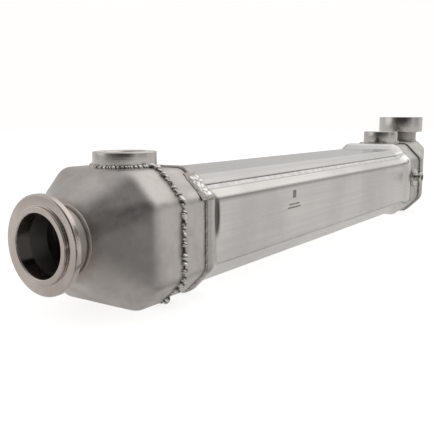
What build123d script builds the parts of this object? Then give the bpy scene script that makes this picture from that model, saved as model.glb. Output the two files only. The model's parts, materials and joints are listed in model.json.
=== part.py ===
# A welded stainless-steel shell-and-tube cooler.
#
# Hot gas enters the round clamp flange at the front, spreads out in the front hood, passes
# through a bundle of round tubes and is gathered by the rear hood, which turns it upward to a
# thick round flange. Coolant fills the shell round the tubes. It enters and leaves through the
# two round ports on top, and a small nipple on one side vents it.
#
# Frame, in millimetres: the origin is the centre of the inlet flange's rim face, on the gas
# axis. +X runs along the cooler from inlet to rear, +Z is up, and the vent nipple is at -Y.
from build123d import *
from collections import namedtuple
import math
import os

os.makedirs("parts", exist_ok=True)

# ---------------------------------------------------------------- driving dimensions

# Cross-sections are rectangles with their four corners cut at 45 degrees.
# upper_cut and lower_cut are the legs of the cuts, and radius rounds all eight bends.
Section = namedtuple("Section", "half_width top bottom upper_cut lower_cut radius")

hood_section = Section(half_width=67.0, top=55.0, bottom=-61.5, upper_cut=26.0, lower_cut=24.0, radius=9.0)
shell_section = Section(half_width=61.5, top=46.0, bottom=-54.5, upper_cut=21.5, lower_cut=18.5, radius=5.0)

hood_wall = 2.0
collar_wall = 2.0
shell_wall = 1.5
slip_gap = 0.1              # between two walls that slip into each other before welding

# Inlet flange, made for a clamp band
flange_radius = 40.0
flange_rim_thickness = 5.0
flange_bevel_angle = 20.0
flange_length = 24.0        # rim face to the hood's front edge
gas_bore_radius = 25.5
pilot_wall = 5.5
pilot_radius = gas_bore_radius + pilot_wall
pilot_height = 2.8
pilot_lead = 0.6
inlet_neck_wall = 3.0
neck_insertion = 4.0        # how far the inlet neck reaches into the hood

# Lengths along the cooler, from front to rear
hood_taper_length = 36.0
hood_shoulder_radius = 14.0
neck_softness = 3.0         # how long the taper keeps the neck's large bends: 1 is evenly
front_skirt_length = 32.0   # shoulder to the skirt's rear edge
front_collar_exposed = 34.0
lip_length = 6.0
flare_length = 18.0
shell_length = 514.0        # between the two flares
rear_collar_exposed = 51.0
rear_skirt_length = 14.0    # skirt's edge to the rear shoulder
rear_taper_length = 122.0
front_collar_lap = 24.0      # collar inside the front hood's skirt
rear_collar_lap = 9.0        # collar inside the rear hood's skirt
lip_lap = 5.0               # collar inside the shell's lip

# Rear hood
taper_end_half_width = 32.0  # at the flat end wall
taper_end_bottom = -15.0
taper_end_upper_cut = 12.0
taper_end_lower_cut = 12.0
taper_end_bend = 10.0
taper_end_rounding = 7.0     # sides and floor into the end wall
roof_end_rounding = 16.0     # roof into the end wall
rear_shoulder_radius = 30.0

# Coolant ports
port_radius = 28.0
port_bore_radius = 17.0
port_lead = 1.5
front_port_height = 15.0
rear_port_height = 20.7
front_port_offset = 3.5     # from the front skirt's edge, toward the rear
rear_port_offset = 12.0     # from the rear skirt's edge, toward the front
port_weld_size = 2.0

# Gas outlet
outlet_wall = 2.0
outlet_radius = gas_bore_radius + outlet_wall
outlet_from_end = 45.0      # outlet axis to the rear hood's end wall
outlet_flange_radius = 38.0
outlet_flange_thickness = 26.5
outlet_neck_exposed = 16.5  # hood top to the flange's underside
outlet_socket_depth = 6.0
outlet_insertion = 4.0      # how far the outlet neck reaches into the hood
outlet_weld_root = 6.0      # how far the neck's weld may follow the hood's cut corners down

# Vent nipple
nipple_offset = 30.0        # from the rear skirt's edge, toward the front
nipple_height = 0.0
nipple_base_radius = 14.0
nipple_base_thickness = 3.5
nipple_waist_radius = 6.5
nipple_bead_radius = 9.0
nipple_bead_width = 3.2
nipple_reach = 14.0
nipple_bore_radius = 4.5
nipple_weld_size = 2.0

# Tube bundle
tube_radius = 4.75
tube_wall = 0.6
tube_pitch = 12.5
tube_projection = 1.5       # past the header plates
braze_gap = 0.05
header_thickness = 3.0
header_inset = 2.0          # from the collar's end
baffle_count = 4
baffle_thickness = 1.5
baffle_clearance = 0.5      # baffle to shell
baffle_hole_gap = 0.2
baffle_web = 1.5            # metal left between an outer tube hole and the baffle's edge
baffle_window = 0.25        # share of the height left open, at top and bottom in turn

# Shell seams: the cover's edge crosses each upper cut, and the pan is joggled under it
seam_place = 0.43           # share of the upper cut from the top bend to the cover's edge
seam_groove = 5.4           # cover edge to pan edge, along the cut
seam_tongue = 8.0           # the pan's joggled tongue under the cover
seam_weld_depth = 0.6       # weld surface below the sheet's surface

# Welds
lap_weld_length = 3.0
neck_weld_size = 2.5
lip_weld_length = 1.4
corner_weld_height = 1.3
corner_weld_length = 17.0
edge_break = 0.8            # chamfer on turned edges

taper_steps = 4
shoulder_steps = 5
flare_steps = 6
end_rounding_steps = 4

# ---------------------------------------------------------------- sizes worked out from them

OCTAGON = 2 - math.sqrt(2)  # leg of the cut that turns a square into a regular octagon


def grown(section, by):
    """The same section with every side moved out by a distance, or in if it is negative."""
    return Section(
        section.half_width + by,
        section.top + by,
        section.bottom - by,
        section.upper_cut + by * OCTAGON,
        section.lower_cut + by * OCTAGON,
        section.radius + by,
    )


def blended(start, end, share):
    """A section part of the way from start to end."""
    return Section(*(a + (b - a) * share for a, b in zip(start, end)))


def near_round(radius):
    """A section so close to a circle that a round neck can start a taper."""
    return Section(radius, radius, -radius, OCTAGON * radius, OCTAGON * radius, 0.97 * radius)


collar_section = grown(hood_section, -hood_wall - slip_gap)
lip_section = grown(collar_section, slip_gap + shell_wall)
inlet_neck_radius = gas_bore_radius + inlet_neck_wall

hood_front_x = flange_length
hood_shoulder_x = hood_front_x + hood_taper_length
front_skirt_x = hood_shoulder_x + front_skirt_length
front_lip_x = front_skirt_x + front_collar_exposed
shell_front_x = front_lip_x + lip_length + flare_length
shell_rear_x = shell_front_x + shell_length
rear_lip_x = shell_rear_x + flare_length + lip_length
rear_skirt_x = rear_lip_x + rear_collar_exposed
rear_shoulder_x = rear_skirt_x + rear_skirt_length
rear_end_x = rear_shoulder_x + rear_taper_length

front_collar_x = front_skirt_x - front_collar_lap
rear_collar_end_x = rear_skirt_x + rear_collar_lap
front_header_x = front_collar_x + header_inset
rear_header_x = rear_collar_end_x - header_inset - header_thickness

front_port_x = front_skirt_x + front_port_offset
rear_port_x = rear_skirt_x - rear_port_offset
nipple_x = rear_skirt_x - nipple_offset
outlet_x = rear_end_x - outlet_from_end
outlet_flange_z = hood_section.top + outlet_neck_exposed

# ---------------------------------------------------------------- shared shapes


def outline(section):
    """A section's filled outline, all eight bends rounded."""
    w, t, b, u, v, radius = section
    corners = [
        (w - u, t), (w, t - u), (w, b + v), (w - v, b),
        (-w + v, b), (-w, b + v), (-w, t - u), (-w + u, t),
    ]
    with BuildSketch() as drawn:
        with BuildLine():
            FilletPolyline(*corners, radius=radius, close=True)
        make_face()
    return drawn.sketch


def lofted(stations, grow=0.0):
    """A solid through (x, section) stations."""
    with BuildPart() as form:
        for x, section in stations:
            with BuildSketch(Plane.YZ.offset(x)):
                add(outline(grown(section, grow)))
        loft(ruled=True)
    return form.part


def ring_between(outer, inner, start, length):
    """The space between two sections, from start over a length that may be negative."""
    with BuildPart() as ring:
        with BuildSketch(Plane.YZ.offset(start)):
            add(outline(outer))
            add(outline(inner), mode=Mode.SUBTRACT)
        extrude(amount=length)
    return ring.part


def rod(plane, radius, depth):
    """A round bar from a plane along its normal, used to take out round holes."""
    with BuildPart() as bar:
        with BuildSketch(plane):
            Circle(radius)
        extrude(amount=depth)
    return bar.part


def upright(x, z):
    """A level plane on the cooler's centreline."""
    return Plane(origin=(x, 0, z), x_dir=(1, 0, 0), z_dir=(0, 0, 1))


def turned(points, axis, plane=Plane.XZ):
    """A solid turned round an axis from the corner points of its half section."""
    with BuildPart() as form:
        with BuildSketch(plane):
            with BuildLine():
                Polyline(*points, close=True)
            make_face()
        revolve(axis=axis)
    return form.part


def save(part, name):
    """Label a finished piece and write it."""
    part.label = name
    export_step(part, f"parts/{name}.step")


# ---------------------------------------------------------------- inlet flange

bevel_run = (flange_radius - inlet_neck_radius) * math.tan(math.radians(flange_bevel_angle))

with BuildPart() as inlet_flange:
    with BuildSketch(Plane.XZ):
        with BuildLine():
            Polyline(
                (-pilot_height, gas_bore_radius),
                (-pilot_height, pilot_radius - pilot_lead),
                (-pilot_height + pilot_lead, pilot_radius),
                (0, pilot_radius),
                (0, flange_radius - edge_break),
                (edge_break, flange_radius),
                (flange_rim_thickness, flange_radius),
                (flange_rim_thickness + bevel_run, inlet_neck_radius),
                (flange_length + neck_insertion, inlet_neck_radius),
                (flange_length + neck_insertion, gas_bore_radius),
                close=True,
            )
        make_face()
    revolve(axis=Axis.X)
save(inlet_flange.part, "inlet_flange")

with BuildPart() as inlet_neck_weld:
    with BuildSketch(Plane.XZ):
        with BuildLine():
            Polyline(
                (flange_length - neck_weld_size, inlet_neck_radius),
                (flange_length, inlet_neck_radius),
                (flange_length, inlet_neck_radius + hood_wall),
                (flange_length - neck_weld_size / 2, inlet_neck_radius + hood_wall),
                close=True,
            )
        make_face()
    revolve(axis=Axis.X)
save(inlet_neck_weld.part, "inlet_neck_weld")

# ---------------------------------------------------------------- front hood

# A straight taper from the round neck, then an arc into the skirt. The arc is found on the
# side wall, where the taper is steepest, and every other side follows in proportion.
hood_neck_section = near_round(inlet_neck_radius + hood_wall)
taper_rise = hood_section.half_width - hood_neck_section.half_width
taper_angle = math.atan2(taper_rise, hood_taper_length)
shoulder_run = hood_shoulder_radius * math.tan(taper_angle / 2)


def taper_section(share):
    """A section between neck and skirt. Its bends stay large near the neck."""
    bend = blended(hood_neck_section, hood_section, share**neck_softness).radius
    return blended(hood_neck_section, hood_section, share)._replace(radius=bend)


def front_hood_stations():
    """Stations from the neck over the rounded shoulder to the skirt's edge."""
    centre_x = hood_shoulder_x + shoulder_run
    tangent_x = centre_x - hood_shoulder_radius * math.sin(taper_angle)
    tangent_drop = hood_shoulder_radius * (1 - math.cos(taper_angle))
    found = []
    for step in range(taper_steps):
        share = step / taper_steps
        x = hood_front_x + (tangent_x - hood_front_x) * share
        found.append((x, taper_section(share * (1 - tangent_drop / taper_rise))))
    for step in range(shoulder_steps + 1):
        angle = taper_angle * (1 - step / shoulder_steps)
        x = centre_x - hood_shoulder_radius * math.sin(angle)
        drop = hood_shoulder_radius * (1 - math.cos(angle))
        found.append((x, taper_section(1 - drop / taper_rise)))
    found.append((front_skirt_x, hood_section))
    return found


def port_cutter(port_x):
    """Takes a port and its weld out of the sheets and welds around it."""
    return rod(upright(port_x, 0), port_radius + port_weld_size, hood_section.top + hood_wall)


with BuildPart() as front_hood:
    add(lofted(front_hood_stations()))
    add(lofted(front_hood_stations(), grow=-hood_wall), mode=Mode.SUBTRACT)
    neck_hole = rod(Plane.YZ.offset(hood_front_x), inlet_neck_radius, neck_insertion)
    add(neck_hole, mode=Mode.SUBTRACT)
    add(port_cutter(front_port_x), mode=Mode.SUBTRACT)
save(front_hood.part, "front_hood")


def lap_weld(edge_x, direction, port_x):
    """A fillet round the collar against a skirt's edge, stopping at the port's own weld."""
    step = direction * lap_weld_length / 2
    half_height = grown(collar_section, (hood_wall + slip_gap) / 2)
    with BuildPart() as bead:
        add(ring_between(hood_section, collar_section, edge_x, step))
        add(ring_between(half_height, collar_section, edge_x + step, step))
        add(port_cutter(port_x), mode=Mode.SUBTRACT)
    return bead.part


save(lap_weld(front_skirt_x, 1, front_port_x), "front_hood_weld")

# ---------------------------------------------------------------- collars

collar_inside = grown(collar_section, -collar_wall)

with BuildPart() as front_collar:
    front_collar_length = front_lip_x + lip_lap - front_collar_x
    add(ring_between(collar_section, collar_inside, front_collar_x, front_collar_length))
    add(rod(upright(front_port_x, 0), port_bore_radius, hood_section.top), mode=Mode.SUBTRACT)
save(front_collar.part, "front_collar")

with BuildPart() as rear_collar:
    rear_collar_x = rear_lip_x - lip_lap
    rear_collar_length = rear_collar_end_x - rear_collar_x
    add(ring_between(collar_section, collar_inside, rear_collar_x, rear_collar_length))
    add(rod(upright(rear_port_x, 0), port_bore_radius, hood_section.top), mode=Mode.SUBTRACT)
    vent_plane = Plane(origin=(nipple_x, 0, nipple_height), x_dir=(1, 0, 0), z_dir=(0, -1, 0))
    add(rod(vent_plane, nipple_bore_radius, hood_section.half_width), mode=Mode.SUBTRACT)
save(rear_collar.part, "rear_collar")

# ---------------------------------------------------------------- header plates

# Tubes stand in staggered rows, wherever a whole tube clears the shell and leaves the baffles
# enough metal at their edge.
shell_centre_z = (shell_section.top + shell_section.bottom) / 2
baffle_section = grown(shell_section, -2 * shell_wall - baffle_clearance)
tube_zone = grown(baffle_section, -tube_radius - baffle_hole_gap - baffle_web)
row_pitch = tube_pitch * math.sin(math.radians(60))


def has_room(y, z):
    """True where a tube's centre lies inside the tube zone."""
    zone = tube_zone
    inside_box = abs(y) <= zone.half_width and zone.bottom <= z <= zone.top
    under_upper = abs(y) + z <= zone.half_width + zone.top - zone.upper_cut
    over_lower = abs(y) - z <= zone.half_width - zone.bottom - zone.lower_cut
    return inside_box and under_upper and over_lower


def tube_rows():
    """Lists of (y, z) tube centres, one list for each row, from the bottom up."""
    reach = int((shell_section.top - shell_section.bottom) / row_pitch)
    found = []
    for row in range(-reach, reach + 1):
        z = shell_centre_z + (row + 0.5) * row_pitch
        shift = (row % 2) * tube_pitch / 2
        columns = range(-reach * 2, reach * 2 + 1)
        centres = [(shift + column * tube_pitch, z) for column in columns]
        kept = [centre for centre in centres if has_room(*centre)]
        if kept:
            found.append(kept)
    return found


rows = tube_rows()
all_tubes = [centre for row in rows for centre in row]


def header_plate(x):
    """A plate across the collar with a hole for every tube."""
    with BuildPart() as plate:
        with BuildSketch(Plane.YZ.offset(x)):
            add(outline(grown(collar_inside, -slip_gap)))
            with Locations(*all_tubes):
                Circle(tube_radius + braze_gap, mode=Mode.SUBTRACT)
        extrude(amount=header_thickness)
    return plate.part


save(header_plate(front_header_x), "front_header_plate")
save(header_plate(rear_header_x), "rear_header_plate")

# ---------------------------------------------------------------- gas tubes and baffles

tube_start_x = front_header_x - tube_projection
tube_end_x = rear_header_x + header_thickness + tube_projection

for number, row in enumerate(rows, start=1):
    with BuildPart() as tube_row:
        with BuildSketch(Plane.YZ.offset(tube_start_x)):
            with Locations(*row):
                Circle(tube_radius)
                Circle(tube_radius - tube_wall, mode=Mode.SUBTRACT)
        extrude(amount=tube_end_x - tube_start_x)
    save(tube_row.part, f"gas_tubes_row_{number}")

window_height = baffle_window * (shell_section.top - shell_section.bottom)

for number in range(1, baffle_count + 1):
    baffle_x = shell_front_x + shell_length * number / (baffle_count + 1)
    if number % 2:
        window_z = baffle_section.top - window_height / 2
    else:
        window_z = baffle_section.bottom + window_height / 2
    with BuildPart() as baffle:
        with BuildSketch(Plane.YZ.offset(baffle_x)):
            add(outline(baffle_section))
            with Locations((0, window_z)):
                Rectangle(2 * baffle_section.half_width, window_height, mode=Mode.SUBTRACT)
            with Locations(*all_tubes):
                Circle(tube_radius + baffle_hole_gap, mode=Mode.SUBTRACT)
        extrude(amount=baffle_thickness)
    save(baffle.part, f"baffle_{number}")

# ---------------------------------------------------------------- shell pan, cover and seams


def shell_stations():
    """Stations over the front lip and flare, the long body, the rear flare and its lip."""
    found = [(front_lip_x, lip_section)]
    for step in range(flare_steps + 1):
        share = step / flare_steps
        eased = share * share * (3 - 2 * share)
        section = blended(lip_section, shell_section, eased)
        found.append((front_lip_x + lip_length + flare_length * share, section))
    rear = [(front_lip_x + rear_lip_x - x, section) for x, section in reversed(found)]
    return found + rear


def shell_layer(outside, inside):
    """The shell's form between two depths below its outer surface."""
    with BuildPart() as layer:
        add(lofted(shell_stations(), grow=-outside))
        add(lofted(shell_stations(), grow=-inside), mode=Mode.SUBTRACT)
    return layer.part


# The seams run along the upper cuts. A seam line is a plane square to the cut, known by its
# value of z - y, with y counted as positive on both sides.
top_bend = shell_section.top - (shell_section.half_width - shell_section.upper_cut)
cover_edge = top_bend - 2 * shell_section.upper_cut * seam_place
pan_edge = cover_edge - seam_groove * math.sqrt(2)
tongue_top = cover_edge + seam_tongue * math.sqrt(2)
tongue_foot = pan_edge - shell_wall
beyond = 4 * shell_section.half_width   # past every piece


def between_seam_lines(low, high, start, end, sides=(1, -1)):
    """All that lies between two seam lines on the given sides, from start to end."""
    with BuildPart() as region:
        for side in sides:
            with BuildSketch(Plane.YZ.offset(start)):
                with BuildLine():
                    Polyline(
                        (0, low),
                        (beyond * side, low + beyond),
                        (beyond * side, high + beyond),
                        (0, high),
                        close=True,
                    )
                make_face()
            extrude(amount=end - start)
    return region.part


with BuildPart() as shell_cover:
    add(shell_layer(0, shell_wall))
    cover_region = between_seam_lines(cover_edge, beyond, front_lip_x, rear_lip_x)
    add(cover_region, mode=Mode.INTERSECT)
    for port_x in (front_port_x, rear_port_x):
        add(port_cutter(port_x), mode=Mode.SUBTRACT)
save(shell_cover.part, "shell_cover")

# The tongue starts and ends inside the straight body, clear of the collars.
with BuildPart() as tongues:
    tongue_outer = grown(shell_section, -shell_wall)
    tongue_inner = grown(shell_section, -2 * shell_wall)
    add(ring_between(tongue_outer, tongue_inner, shell_front_x, shell_length))
    tongue_region = between_seam_lines(tongue_foot, tongue_top, shell_front_x, shell_rear_x)
    add(tongue_region, mode=Mode.INTERSECT)

with BuildPart() as shell_pan:
    add(shell_layer(0, shell_wall))
    pan_region = between_seam_lines(-beyond, pan_edge, front_lip_x, rear_lip_x)
    add(pan_region, mode=Mode.INTERSECT)
    add(tongues.part)
save(shell_pan.part, "shell_pan")

for side, name in ((-1, "near_seam_weld"), (1, "far_seam_weld")):
    with BuildPart() as seam_weld:
        add(shell_layer(seam_weld_depth, shell_wall))
        seam_region = between_seam_lines(pan_edge, cover_edge, front_lip_x, rear_lip_x, (side,))
        add(seam_region, mode=Mode.INTERSECT)
    save(seam_weld.part, name)

# ---------------------------------------------------------------- welds at the shell's lips


def lip_weld(edge_x, direction, port_x):
    """A thin fillet round the collar against the shell's lip, stopping at the port's weld."""
    with BuildPart() as bead:
        add(ring_between(lip_section, collar_section, edge_x, direction * lip_weld_length))
        add(port_cutter(port_x), mode=Mode.SUBTRACT)
    return bead.part


save(lip_weld(front_lip_x, -1, front_port_x), "front_lip_weld")
save(lip_weld(rear_lip_x, 1, rear_port_x), "rear_lip_weld")

# Where the front lip turns the two upper corners, its flare is built up with extra weld.
corner_top = lip_section.top - (lip_section.half_width - lip_section.upper_cut)
corner_foot = corner_top - 2 * lip_section.upper_cut

with BuildPart() as front_corner_welds:
    corner_weld_end = front_lip_x + corner_weld_length
    add(shell_layer(-corner_weld_height, 0))
    corner_region = between_seam_lines(corner_foot, corner_top, front_lip_x, corner_weld_end)
    add(corner_region, mode=Mode.INTERSECT)
save(front_corner_welds.part, "front_corner_welds")

# ---------------------------------------------------------------- coolant ports


def coolant_port(x, height):
    """A thick turned ring standing on the collar, bored through."""
    with BuildPart() as port:
        with BuildSketch(upright(x, collar_section.top)):
            Circle(port_radius)
            Circle(port_bore_radius, mode=Mode.SUBTRACT)
        extrude(amount=height)
        rims = port.faces().sort_by(Axis.Z)[-1].edges().sort_by(SortBy.LENGTH)
        chamfer(rims[0], length=port_lead)
        chamfer(rims[-1], length=edge_break)
    return port.part


def port_weld(x):
    """A fillet round a port's foot that also fills the skirt's cut-out."""
    low = collar_section.top
    level = hood_section.top
    profile = [
        (x + port_radius, low),
        (x + port_radius + port_weld_size, low),
        (x + port_radius + port_weld_size, level),
        (x + port_radius, level + port_weld_size),
    ]
    return turned(profile, Axis((x, 0, 0), (0, 0, 1)))


save(coolant_port(front_port_x, front_port_height), "front_coolant_port")
save(coolant_port(rear_port_x, rear_port_height), "rear_coolant_port")
save(port_weld(front_port_x), "front_port_weld")
save(port_weld(rear_port_x), "rear_port_weld")

# ---------------------------------------------------------------- vent nipple

wall_y = -collar_section.half_width
tip_y = wall_y - nipple_reach
nipple_axis = Axis((nipple_x, 0, nipple_height), (0, 1, 0))
nipple_plane = Plane.XY.offset(nipple_height)

with BuildPart() as vent_nipple:
    with BuildSketch(nipple_plane):
        with BuildLine():
            Polyline(
                (nipple_x + nipple_bore_radius, wall_y),
                (nipple_x + nipple_base_radius, wall_y),
                (nipple_x + nipple_base_radius, wall_y - nipple_base_thickness + edge_break),
                (nipple_x + nipple_base_radius - edge_break, wall_y - nipple_base_thickness),
                (nipple_x + nipple_waist_radius, wall_y - nipple_base_thickness),
                (nipple_x + nipple_waist_radius, tip_y + nipple_bead_width + edge_break),
                (nipple_x + nipple_bead_radius, tip_y + nipple_bead_width),
                (nipple_x + nipple_bead_radius, tip_y + edge_break),
                (nipple_x + nipple_bead_radius - edge_break, tip_y),
                (nipple_x + nipple_bore_radius, tip_y),
                close=True,
            )
        make_face()
    revolve(axis=nipple_axis)
save(vent_nipple.part, "vent_nipple")

nipple_weld_profile = [
    (nipple_x + nipple_base_radius, wall_y),
    (nipple_x + nipple_base_radius + nipple_weld_size, wall_y),
    (nipple_x + nipple_base_radius, wall_y - nipple_weld_size),
]
save(turned(nipple_weld_profile, nipple_axis, nipple_plane), "vent_nipple_weld")

# ---------------------------------------------------------------- rear hood

taper_end_section = Section(
    half_width=taper_end_half_width,
    top=hood_section.top,
    bottom=taper_end_bottom,
    upper_cut=taper_end_upper_cut,
    lower_cut=taper_end_lower_cut,
    radius=taper_end_bend,
)
rear_taper_angle = math.atan2(hood_section.half_width - taper_end_half_width, rear_taper_length)
rear_shoulder_run = rear_shoulder_radius * math.tan(rear_taper_angle / 2)


roof_end_run = roof_end_rounding - taper_end_rounding


def under_roof(x, section, wall):
    """The section with its top lowered where the roof rounds into the end wall."""
    rounding = roof_end_rounding - wall
    into_end = max(0, x - (rear_end_x - roof_end_rounding))
    roof = hood_section.top - wall - rounding + math.sqrt(max(0, rounding**2 - into_end**2))
    return section._replace(top=min(section.top, roof))


def rear_hood_stations(wall=0.0):
    """Stations along the skirt, over a soft shoulder, down the taper and into the end wall.

    The top stays level as far as the outlet neck, so that the neck stands on a flat. A wall
    moves every side and the end inward.
    """
    centre_x = rear_shoulder_x - rear_shoulder_run
    narrowing = hood_section.half_width - taper_end_half_width
    found = [(rear_skirt_x, hood_section)]
    for step in range(shoulder_steps + 1):
        angle = rear_taper_angle * step / shoulder_steps
        share = rear_shoulder_radius * (1 - math.cos(angle)) / narrowing
        x = centre_x + rear_shoulder_radius * math.sin(angle)
        found.append((x, blended(hood_section, taper_end_section, share)))
    rounding = taper_end_rounding - wall
    for step in range(end_rounding_steps + 1):
        angle = math.pi / 2 * step / end_rounding_steps
        x = rear_end_x - wall - rounding * (1 - math.sin(angle))
        share = (x - rear_shoulder_x) / rear_taper_length
        section = blended(hood_section, taper_end_section, share)
        found.append((x, grown(section, -rounding * (1 - math.cos(angle)))))
    for step in range(1, end_rounding_steps):
        x = rear_end_x - roof_end_rounding + step * roof_end_run / end_rounding_steps
        share = (x - rear_shoulder_x) / rear_taper_length
        found.append((x, blended(hood_section, taper_end_section, share)))
    found.sort(key=lambda station: station[0])
    return [(x, under_roof(x, grown(section, -wall), wall)) for x, section in found]


with BuildPart() as rear_hood:
    add(lofted(rear_hood_stations()))
    add(lofted(rear_hood_stations(hood_wall)), mode=Mode.SUBTRACT)
    outlet_hole = rod(upright(outlet_x, 0), outlet_radius, hood_section.top + hood_wall)
    add(outlet_hole, mode=Mode.SUBTRACT)
    add(port_cutter(rear_port_x), mode=Mode.SUBTRACT)
save(rear_hood.part, "rear_hood")

save(lap_weld(rear_skirt_x, -1, rear_port_x), "rear_hood_weld")

# ---------------------------------------------------------------- gas outlet

with BuildPart() as outlet_neck:
    outlet_foot_z = hood_section.top - hood_wall - outlet_insertion
    with BuildSketch(upright(outlet_x, outlet_foot_z)):
        Circle(outlet_radius)
        Circle(outlet_radius - outlet_wall, mode=Mode.SUBTRACT)
    extrude(amount=outlet_flange_z + outlet_socket_depth - outlet_foot_z)
save(outlet_neck.part, "outlet_neck")


def outlet_weld(z, upward, root=0.0):
    """A triangular weld round the outlet neck at height z, with a root reaching further."""
    profile = [
        (outlet_x + outlet_radius, z - upward * root),
        (outlet_x + outlet_radius + neck_weld_size, z - upward * root),
        (outlet_x + outlet_radius + neck_weld_size, z),
        (outlet_x + outlet_radius, z + upward * neck_weld_size),
    ]
    if not root:
        profile.pop(1)
    return turned(profile, Axis((outlet_x, 0, 0), (0, 0, 1)))


with BuildPart() as outlet_neck_weld:
    add(outlet_weld(hood_section.top, 1, outlet_weld_root))
    add(lofted(rear_hood_stations()), mode=Mode.SUBTRACT)
save(outlet_neck_weld.part, "outlet_neck_weld")

save(outlet_weld(outlet_flange_z, -1), "outlet_flange_weld")

with BuildPart() as outlet_flange:
    with BuildSketch(upright(outlet_x, outlet_flange_z)):
        Circle(outlet_flange_radius)
        Circle(gas_bore_radius, mode=Mode.SUBTRACT)
    extrude(amount=outlet_flange_thickness)
    socket = rod(upright(outlet_x, outlet_flange_z), outlet_radius, outlet_socket_depth)
    add(socket, mode=Mode.SUBTRACT)
    top_rims = outlet_flange.faces().sort_by(Axis.Z)[-1].edges().sort_by(SortBy.LENGTH)
    chamfer(top_rims[0], length=port_lead)
    chamfer(top_rims[-1], length=edge_break)
save(outlet_flange.part, "outlet_flange")
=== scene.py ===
# %% [markdown]
# # A welded stainless cooler
# This lesson gives a finished CAD assembly its looks. The cooler is a long cut-corner shell of
# sheet steel with a hood at each end. A clamp flange lets hot gas in at the front, and a thick
# round flange lets it out at the top of the rear. The CAD says where everything is; here the
# sheets get soft bends, the turned rings get crisp rims, and the welds get their ripples.

# %% Load the CAD frame
import json
import math
from collections import namedtuple

import bpy
import numpy as np
from mathutils import Matrix, Vector, noise

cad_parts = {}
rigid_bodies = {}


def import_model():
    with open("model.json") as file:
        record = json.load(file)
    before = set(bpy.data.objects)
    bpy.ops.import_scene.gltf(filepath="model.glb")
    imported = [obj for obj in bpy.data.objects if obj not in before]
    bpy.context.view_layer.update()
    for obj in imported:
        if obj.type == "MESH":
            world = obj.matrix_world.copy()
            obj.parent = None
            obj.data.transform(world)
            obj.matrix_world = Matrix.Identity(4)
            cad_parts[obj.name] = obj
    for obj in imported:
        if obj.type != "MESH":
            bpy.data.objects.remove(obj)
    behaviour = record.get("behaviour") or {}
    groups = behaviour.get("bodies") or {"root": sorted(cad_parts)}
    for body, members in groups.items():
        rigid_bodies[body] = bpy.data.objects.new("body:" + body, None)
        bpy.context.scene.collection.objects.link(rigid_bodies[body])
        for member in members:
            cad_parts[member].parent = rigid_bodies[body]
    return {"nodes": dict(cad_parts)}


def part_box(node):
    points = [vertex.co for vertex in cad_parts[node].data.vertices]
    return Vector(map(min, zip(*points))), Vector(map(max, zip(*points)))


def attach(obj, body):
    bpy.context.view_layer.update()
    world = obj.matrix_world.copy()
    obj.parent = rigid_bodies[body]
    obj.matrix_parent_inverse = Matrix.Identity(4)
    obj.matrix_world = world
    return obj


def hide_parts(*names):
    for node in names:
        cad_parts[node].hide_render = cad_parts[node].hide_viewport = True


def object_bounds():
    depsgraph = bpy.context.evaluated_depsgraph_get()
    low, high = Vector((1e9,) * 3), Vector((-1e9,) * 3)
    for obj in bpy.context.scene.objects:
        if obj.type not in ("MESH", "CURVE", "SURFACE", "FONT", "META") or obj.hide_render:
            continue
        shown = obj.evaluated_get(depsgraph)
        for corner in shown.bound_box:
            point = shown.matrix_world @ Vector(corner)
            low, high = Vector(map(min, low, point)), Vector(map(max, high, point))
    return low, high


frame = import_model()
cad_box = [list(corner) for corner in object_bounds()]
MM = 0.001
print("CAD box, metres:", cad_box)

# %% [markdown]
# ## Reading sizes from the frame
# Every piece of this cooler lines up with its neighbours, so its place comes from the boxes of
# the CAD nodes. Only what a box can't say, such as how large the cut corners are, is written
# down as a value here.

# %% Stations along the cooler
hood_low, hood_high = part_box("front_hood")
collar_low, collar_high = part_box("front_collar")
rear_collar_low, rear_collar_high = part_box("rear_collar")
pan_low, pan_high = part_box("shell_pan")
rear_low, rear_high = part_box("rear_hood")
flange_low, flange_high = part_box("inlet_flange")
front_port_low, front_port_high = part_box("front_coolant_port")
rear_port_low, rear_port_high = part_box("rear_coolant_port")
outlet_low, outlet_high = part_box("outlet_flange")
neck_low, neck_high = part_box("outlet_neck")
nipple_low, nipple_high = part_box("vent_nipple")

front_skirt_x = hood_high.x          # where the front hood's skirt ends
front_lip_x = pan_low.x              # the shell's flared front edge
rear_lip_x = pan_high.x
rear_skirt_x = rear_low.x
front_port_x = (front_port_low.x + front_port_high.x) / 2
rear_port_x = (rear_port_low.x + rear_port_high.x) / 2
outlet_x = (outlet_low.x + outlet_high.x) / 2
nipple_x = (nipple_low.x + nipple_high.x) / 2
print("skirts end at", round(front_skirt_x, 4), "and", round(rear_skirt_x, 4))
print("lips at", round(front_lip_x, 4), "and", round(rear_lip_x, 4))

# %% [markdown]
# ## The cut-corner section
# A press brake or a forming die leaves the corners of such a shell as 45-degree flats with a
# soft bend on each side. One small record holds a section, and three functions grow it, blend
# it and walk round it. The walk gives the same number of points for every section, so any two
# can be joined into a smooth skin.

# %% Sections
Section = namedtuple("Section", "half_width top bottom upper_cut lower_cut radius")
EIGHTH_TURN = math.radians(45)
CUT_GROWTH = 2 - math.sqrt(2)        # how much a cut's leg grows when every side moves out by 1

hood = Section(hood_high.y, hood_high.z, hood_low.z, 26 * MM, 24 * MM, 15 * MM)
shell = Section(61.5 * MM, 46 * MM, -54.5 * MM, 21.5 * MM, 18.5 * MM, 5 * MM)
hood_wall = 2 * MM
shell_wall = 1.5 * MM


def grown(section, by):
    """Every side of the section moved out by a distance, or in if it is negative."""
    w, t, b, u, v, r = section
    return Section(w + by, t + by, b - by, u + by * CUT_GROWTH, v + by * CUT_GROWTH, r + by)


def blended(start, end, share):
    """A section part of the way from start to end."""
    return Section(*(a + (b - a) * share for a, b in zip(start, end)))


collar = grown(hood, collar_high.y - hood.half_width)
lip = grown(hood, pan_high.y - hood.half_width)


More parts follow.
